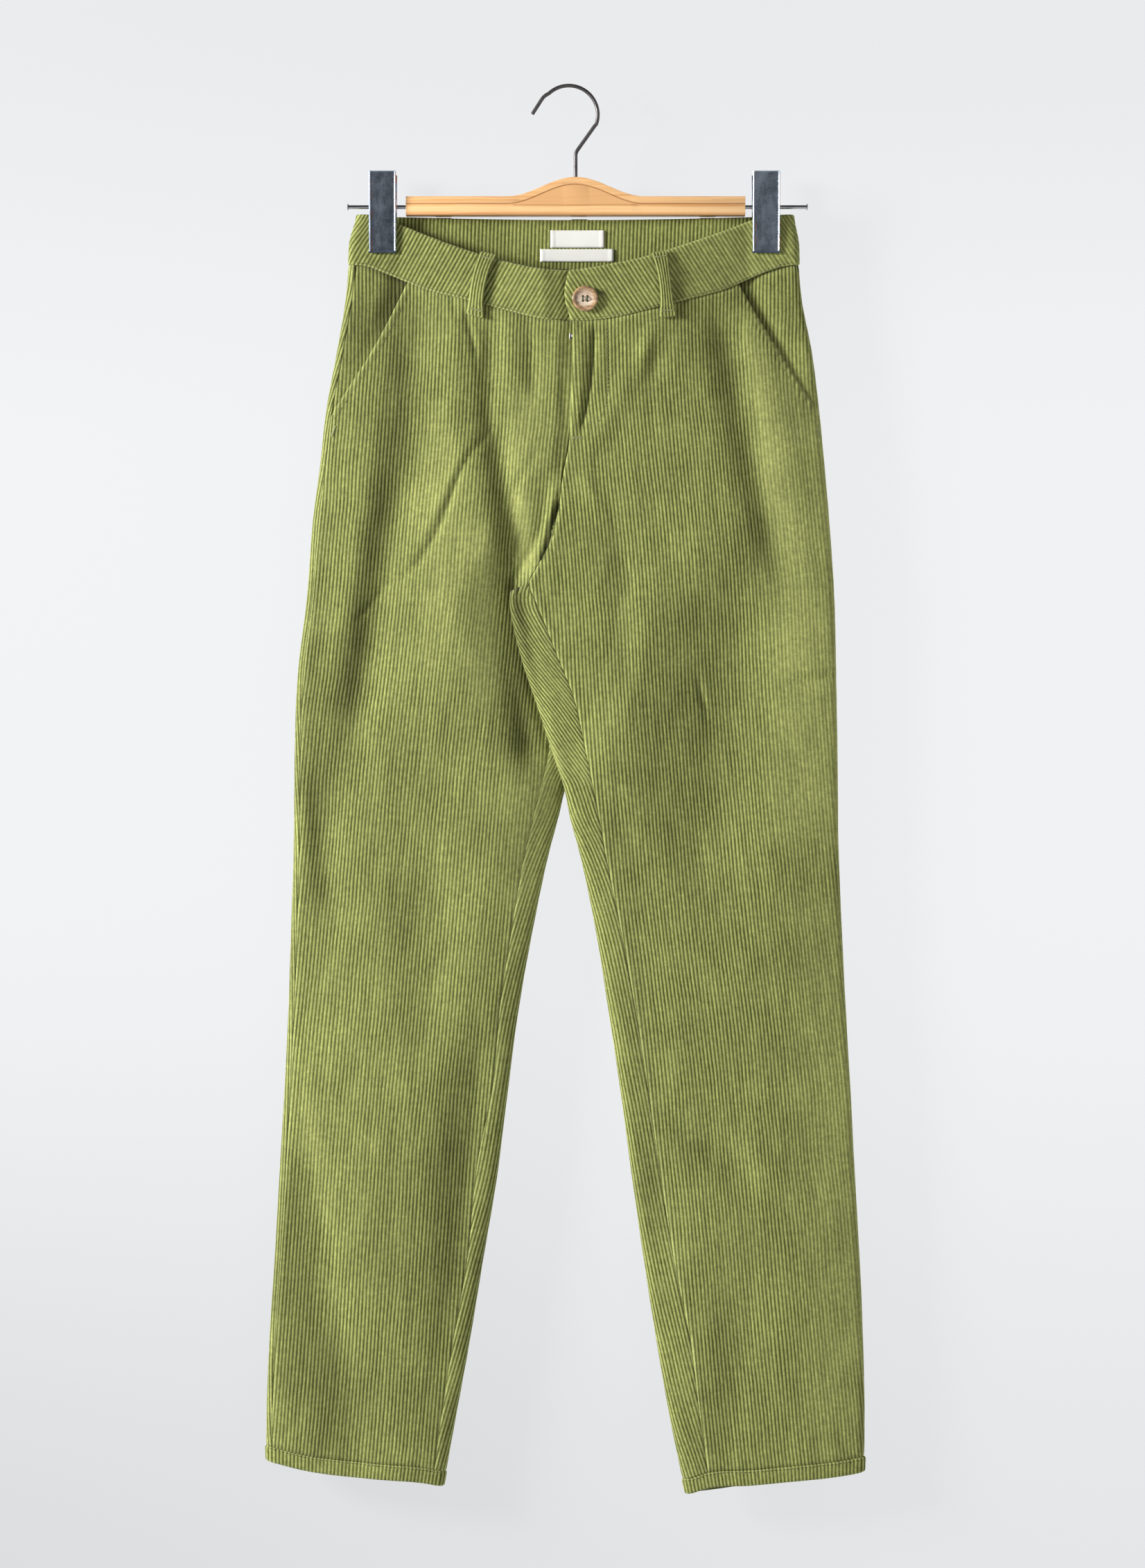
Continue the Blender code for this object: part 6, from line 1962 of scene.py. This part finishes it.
class MakeFinishes(bpy.types.Operator):
    """Make the shared effects and all finishes"""

    bl_idname = "chinos.finishes"
    bl_label = "Finishes"

    def execute(self, context):
        cloth, trim = context.scene.chinos_cloth, context.scene.chinos_trim
        mottle_group()
        ribs_group()
        corduroy(cloth)
        woven_tape()
        dark = tuple(0.6 * c for c in cloth.thread[:3]) + (1.0,)
        thread_finish("sewing_thread", cloth.thread, dark)
        thread_finish("bartack_thread", cloth.bartack, cloth.thread)
        thread_finish("button_thread", linear(70, 84, 50), linear(30, 38, 20))
        horn(trim)
        metal("steel", trim.steel, linear(120, 120, 124), 0.16)
        metal("wire", trim.wire, linear(62, 60, 62), 0.38)
        metal("chrome", trim.chrome, linear(136, 146, 162), 0.22, (120, 120, 60), 0.85)
        wood(trim)
        return {"FINISHED"}


class MakePanels(bpy.types.Operator):
    """Make the two fronts and the two backs"""

    bl_idname = "chinos.panels"
    bl_label = "Fronts and backs"

    def execute(self, context):
        for side in (-1, 1):
            cuts = (("front", make_front, (0.265, 0.935)), ("back", make_back, (0.30, 0.965)))
            for wall, make, flat in cuts:
                piece = dress(make(side), f"{wall}_{name_of(side)}")
        return {"FINISHED"}


class MakePocketFacings(bpy.types.Operator):
    """Make the hip pieces behind the pocket mouths"""

    bl_idname = "chinos.pocket_facings"
    bl_label = "Pocket facings"

    def execute(self, context):
        for side in (-1, 1):
            piece = dress(make_pocket_facing(side), f"pocket_facing_{name_of(side)}")
        return {"FINISHED"}


class MakeWaistband(bpy.types.Operator):
    """Make the three pieces of the waistband"""

    bl_idname = "chinos.waistband"
    bl_label = "Waistband"

    def execute(self, context):
        pieces = (*make_waistband_fronts(), make_waistband_back())
        sizes = (("front_left", 0.205), ("front_right", 0.188), ("back", 0.362))
        for piece, (part, width) in zip(pieces, sizes):
            dress(piece, f"waistband_{part}")
        return {"FINISHED"}


class MakeBeltLoops(bpy.types.Operator):
    """Make the five belt loops"""

    bl_idname = "chinos.belt_loops"
    bl_label = "Belt loops"

    def execute(self, context):
        for loop in BELT_LOOPS:
            piece = dress(make_belt_loop(*loop), f"belt_loop_{loop[0]}")
        return {"FINISHED"}


class MakeHems(bpy.types.Operator):
    """Make the turned-up hems"""

    bl_idname = "chinos.hems"
    bl_label = "Hems"

    def execute(self, context):
        for side, width in ((-1, 0.296), (1, 0.300)):
            piece = dress(make_hem(side), f"hem_{name_of(side)}")
        return {"FINISHED"}


class MakeLabels(bpy.types.Operator):
    """Make the two bare labels inside the waist"""

    bl_idname = "chinos.labels"
    bl_label = "Labels"

    def execute(self, context):
        for label in LABELS:
            name, left, right, top, low = label
            piece = dress(make_label(*label), name)
        return {"FINISHED"}


class MakeStitching(bpy.types.Operator):
    """Make the visible stitching, the bartacks and the buttonhole"""

    bl_idname = "chinos.stitching"
    bl_label = "Stitching"

    def execute(self, context):
        for piece in make_stitching():
            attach(piece, "root")
        return {"FINISHED"}


class MakeButton(bpy.types.Operator):
    """Make the waist button with its thread"""

    bl_idname = "chinos.button"
    bl_label = "Button"

    def execute(self, context):
        dress(make_button(), "button")
        thread = make_button_thread()
        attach(thread, "root")
        return {"FINISHED"}


class MakeZipSlider(bpy.types.Operator):
    """Make the zip's slider"""

    bl_idname = "chinos.zip_slider"
    bl_label = "Zip slider"

    def execute(self, context):
        dress(make_zip_slider(), "zip_slider")
        return {"FINISHED"}


class MakeHanger(bpy.types.Operator):
    """Make the wooden bar, the hook and the rods"""

    bl_idname = "chinos.hanger"
    bl_label = "Bar, hook and rods"

    def execute(self, context):
        dress(make_bar(), "hanger_bar")
        dress(make_hook(), "hanger_hook")
        for side in (-1, 1):
            dress(make_rod(side), f"rod_{name_of(side)}")
        return {"FINISHED"}


class MakeClips(bpy.types.Operator):
    """Make the two clips and their springs"""

    bl_idname = "chinos.clips"
    bl_label = "Clips"

    def execute(self, context):
        for side, x in zip((-1, 1), CLIP_X):
            jaws = (("front", -1, CLIP_WIDTH / 2 - PLATE), ("back", 1, CLIP_WIDTH / 2 - 2 * PLATE - 0.4))
            for wall, facing, ear in jaws:
                name = f"clip_{wall}_{name_of(side)}"
                dress(make_clip_plate(f"{name}_plate", x, facing, ear), name)
            dress(make_clip_spring(side, x), f"clip_spring_{name_of(side)}")
        return {"FINISHED"}


def area_light(name, at, size, power):
    light = bpy.data.lights.new(name, "AREA")
    light.shape, light.size, light.energy = "DISK", size, power
    made = linked(name, light)
    made.location = at
    made.rotation_euler = (Vector(LIT) - Vector(at)).to_track_quat("-Z", "Y").to_euler()


# Metres: the wall's place behind the garment, the floor's height and the curve between them, the spot
# that the lights are aimed at, and the camera's place.
WALL, FLOOR, SWEEP = 0.027, -1.80, 0.45
LIT, CAMERA_AT, CAMERA_LENS = (0, 0, -0.55), (-0.00245, -3.0, -0.5472), 87.57


def make_backdrop():
    """A wall that curves down into a floor."""
    profile = [(WALL, 1.6)] + [
        (WALL - SWEEP + SWEEP * math.cos(a), FLOOR + SWEEP - SWEEP * math.sin(a))
        for a in np.linspace(0, math.pi / 2, 17)
    ]
    profile.append((-5.0, FLOOR))
    points = [(x, y, z) for y, z in profile for x in (-4.0, 4.0)]
    faces = [(2 * i, 2 * i + 2, 2 * i + 3, 2 * i + 1) for i in range(len(profile) - 1)]
    mesh = bpy.data.meshes.new("backdrop")
    mesh.from_pydata(points, [], faces)
    mesh.shade_smooth()
    mesh.materials.append(bpy.data.materials["backdrop"])
    return linked("backdrop", mesh)


def backdrop_finish(stage):
    """Plain pale paper that glows, with painted shade: darker towards the lower left and at the top, a little
    brighter to the right. It isn't seen from behind, so that the garment can be looked at from there.
    """
    graph, shader = new_finish("backdrop")
    mottle = use_group(graph, "Mottle", Patch_scale=1.2, Speck_scale=60.0)
    light, dim = (tuple(share * c for c in stage.backdrop[:3]) + (1.0,) for share in (0.08, 0.075))
    graph.feed(shader["Base Color"], graph.mix(mottle["Patches"], dim, light))
    at = graph.parts(graph.at_object())
    # Painted shade on the glow: darker towards the lower left and at the top; below, a little brighter to the
    # right.
    low = graph.span(at["Z"], -0.62, -1.22, 0.0, 0.17, smooth=True)
    left = graph.span(at["X"], 0.25, -0.5, 0.7, 1.2)
    high = graph.span(at["Z"], -0.30, 0.10, 0.0, 0.08, smooth=True)
    painted_dimming = graph.plus(graph.times(low, left), high)
    rise = graph.span(at["X"], -0.5, 0.5, 0.0, 0.04)
    level = graph.plus(graph.math("SUBTRACT", 1.0, painted_dimming), rise)
    graph.feed_all(shader, {
        "Emission Color": graph.mix(1.0, stage.backdrop, graph.grey(level), "MULTIPLY"),
        "Roughness": 0.95,
        "Specular IOR Level": 0.05,
        "Emission Strength": stage.glow,
    })
    clear = graph.node("ShaderNodeBsdfTransparent").outputs[0]
    behind = graph.node("ShaderNodeNewGeometry").outputs["Backfacing"]
    paper = graph.first("BSDF_PRINCIPLED").outputs[0]
    choice = graph.node("ShaderNodeMixShader", {0: behind, 1: paper, 2: clear}).outputs[0]
    graph.feed(graph.first("OUTPUT_MATERIAL").inputs["Surface"], choice)


class MakeStage(bpy.types.Operator):
    """Make the backdrop, the lights and the camera"""

    bl_idname = "chinos.stage"
    bl_label = "Stage"

    def execute(self, context):
        stage = context.scene.chinos_stage
        backdrop_finish(stage)
        make_backdrop()
        world = bpy.data.worlds.new("studio")
        world.use_nodes = True
        studio = Graph(world.node_tree)
        background = studio.first("BACKGROUND").inputs
        way = studio.parts(studio.node("ShaderNodeTexCoord").outputs["Generated"])
        sides = studio.math("POWER", studio.math("ABSOLUTE", way["X"]), 4.0)
        strength = studio.span(sides, 0.0, 1.0, stage.sky * 0.45, stage.sky * 6.5)
        studio.feed_all(background, {"Color": (1.0, 1.0, 1.0, 1.0), "Strength": strength})
        context.scene.world = world
        area_light("key", (-2.9, -1.25, 0.35), 0.9, stage.key)
        area_light("fill", (1.6, -2.8, 0.2), 1.8, stage.fill)
        area_light("back", (0.6, 2.6, 0.4), 1.6, stage.fill * 0.6)
        context.scene.view_settings.view_transform = "Standard"
        camera = bpy.data.cameras.new("camera")
        camera.sensor_fit, camera.sensor_height, camera.lens = "VERTICAL", 36.0, CAMERA_LENS
        context.scene.camera = linked("camera", camera)
        context.scene.camera.location = CAMERA_AT
        context.scene.camera.rotation_euler = (math.pi / 2, 0, 0)
        return {"FINISHED"}


STEPS = (
    MakeFinishes, MakePanels, MakePocketFacings, MakeWaistband, MakeBeltLoops, MakeHems, MakeLabels,
    MakeStitching, MakeButton, MakeZipSlider, MakeHanger, MakeClips, MakeStage,
)


class ChinosPanel(bpy.types.Panel):
    """Steps and settings of the garment"""

    bl_idname = "VIEW3D_PT_chinos"
    bl_label = "Corduroy chinos"
    bl_space_type = "VIEW_3D"
    bl_region_type = "UI"
    bl_category = "Chinos"

    def draw(self, context):
        for settings in (context.scene.chinos_cloth, context.scene.chinos_trim, context.scene.chinos_stage):
            box = self.layout.box()
            for key in settings.__annotations__:
                box.prop(settings, key)
        for step in STEPS:
            self.layout.operator(step.bl_idname)


SETTINGS = {"chinos_cloth": ChinosCloth, "chinos_trim": ChinosTrim, "chinos_stage": ChinosStage}


def register():
    for kind in (*SETTINGS.values(), *STEPS, ChinosPanel):
        bpy.utils.register_class(kind)
    for name, kind in SETTINGS.items():
        setattr(bpy.types.Scene, name, bpy.props.PointerProperty(type=kind))


def unregister():
    for name in SETTINGS:
        delattr(bpy.types.Scene, name)
    for kind in reversed((*SETTINGS.values(), *STEPS, ChinosPanel)):
        bpy.utils.unregister_class(kind)


def main():
    register()
    for step in STEPS:
        group, name = step.bl_idname.split(".")
        getattr(getattr(bpy.ops, group), name)()


if __name__ == "__main__":
    main()
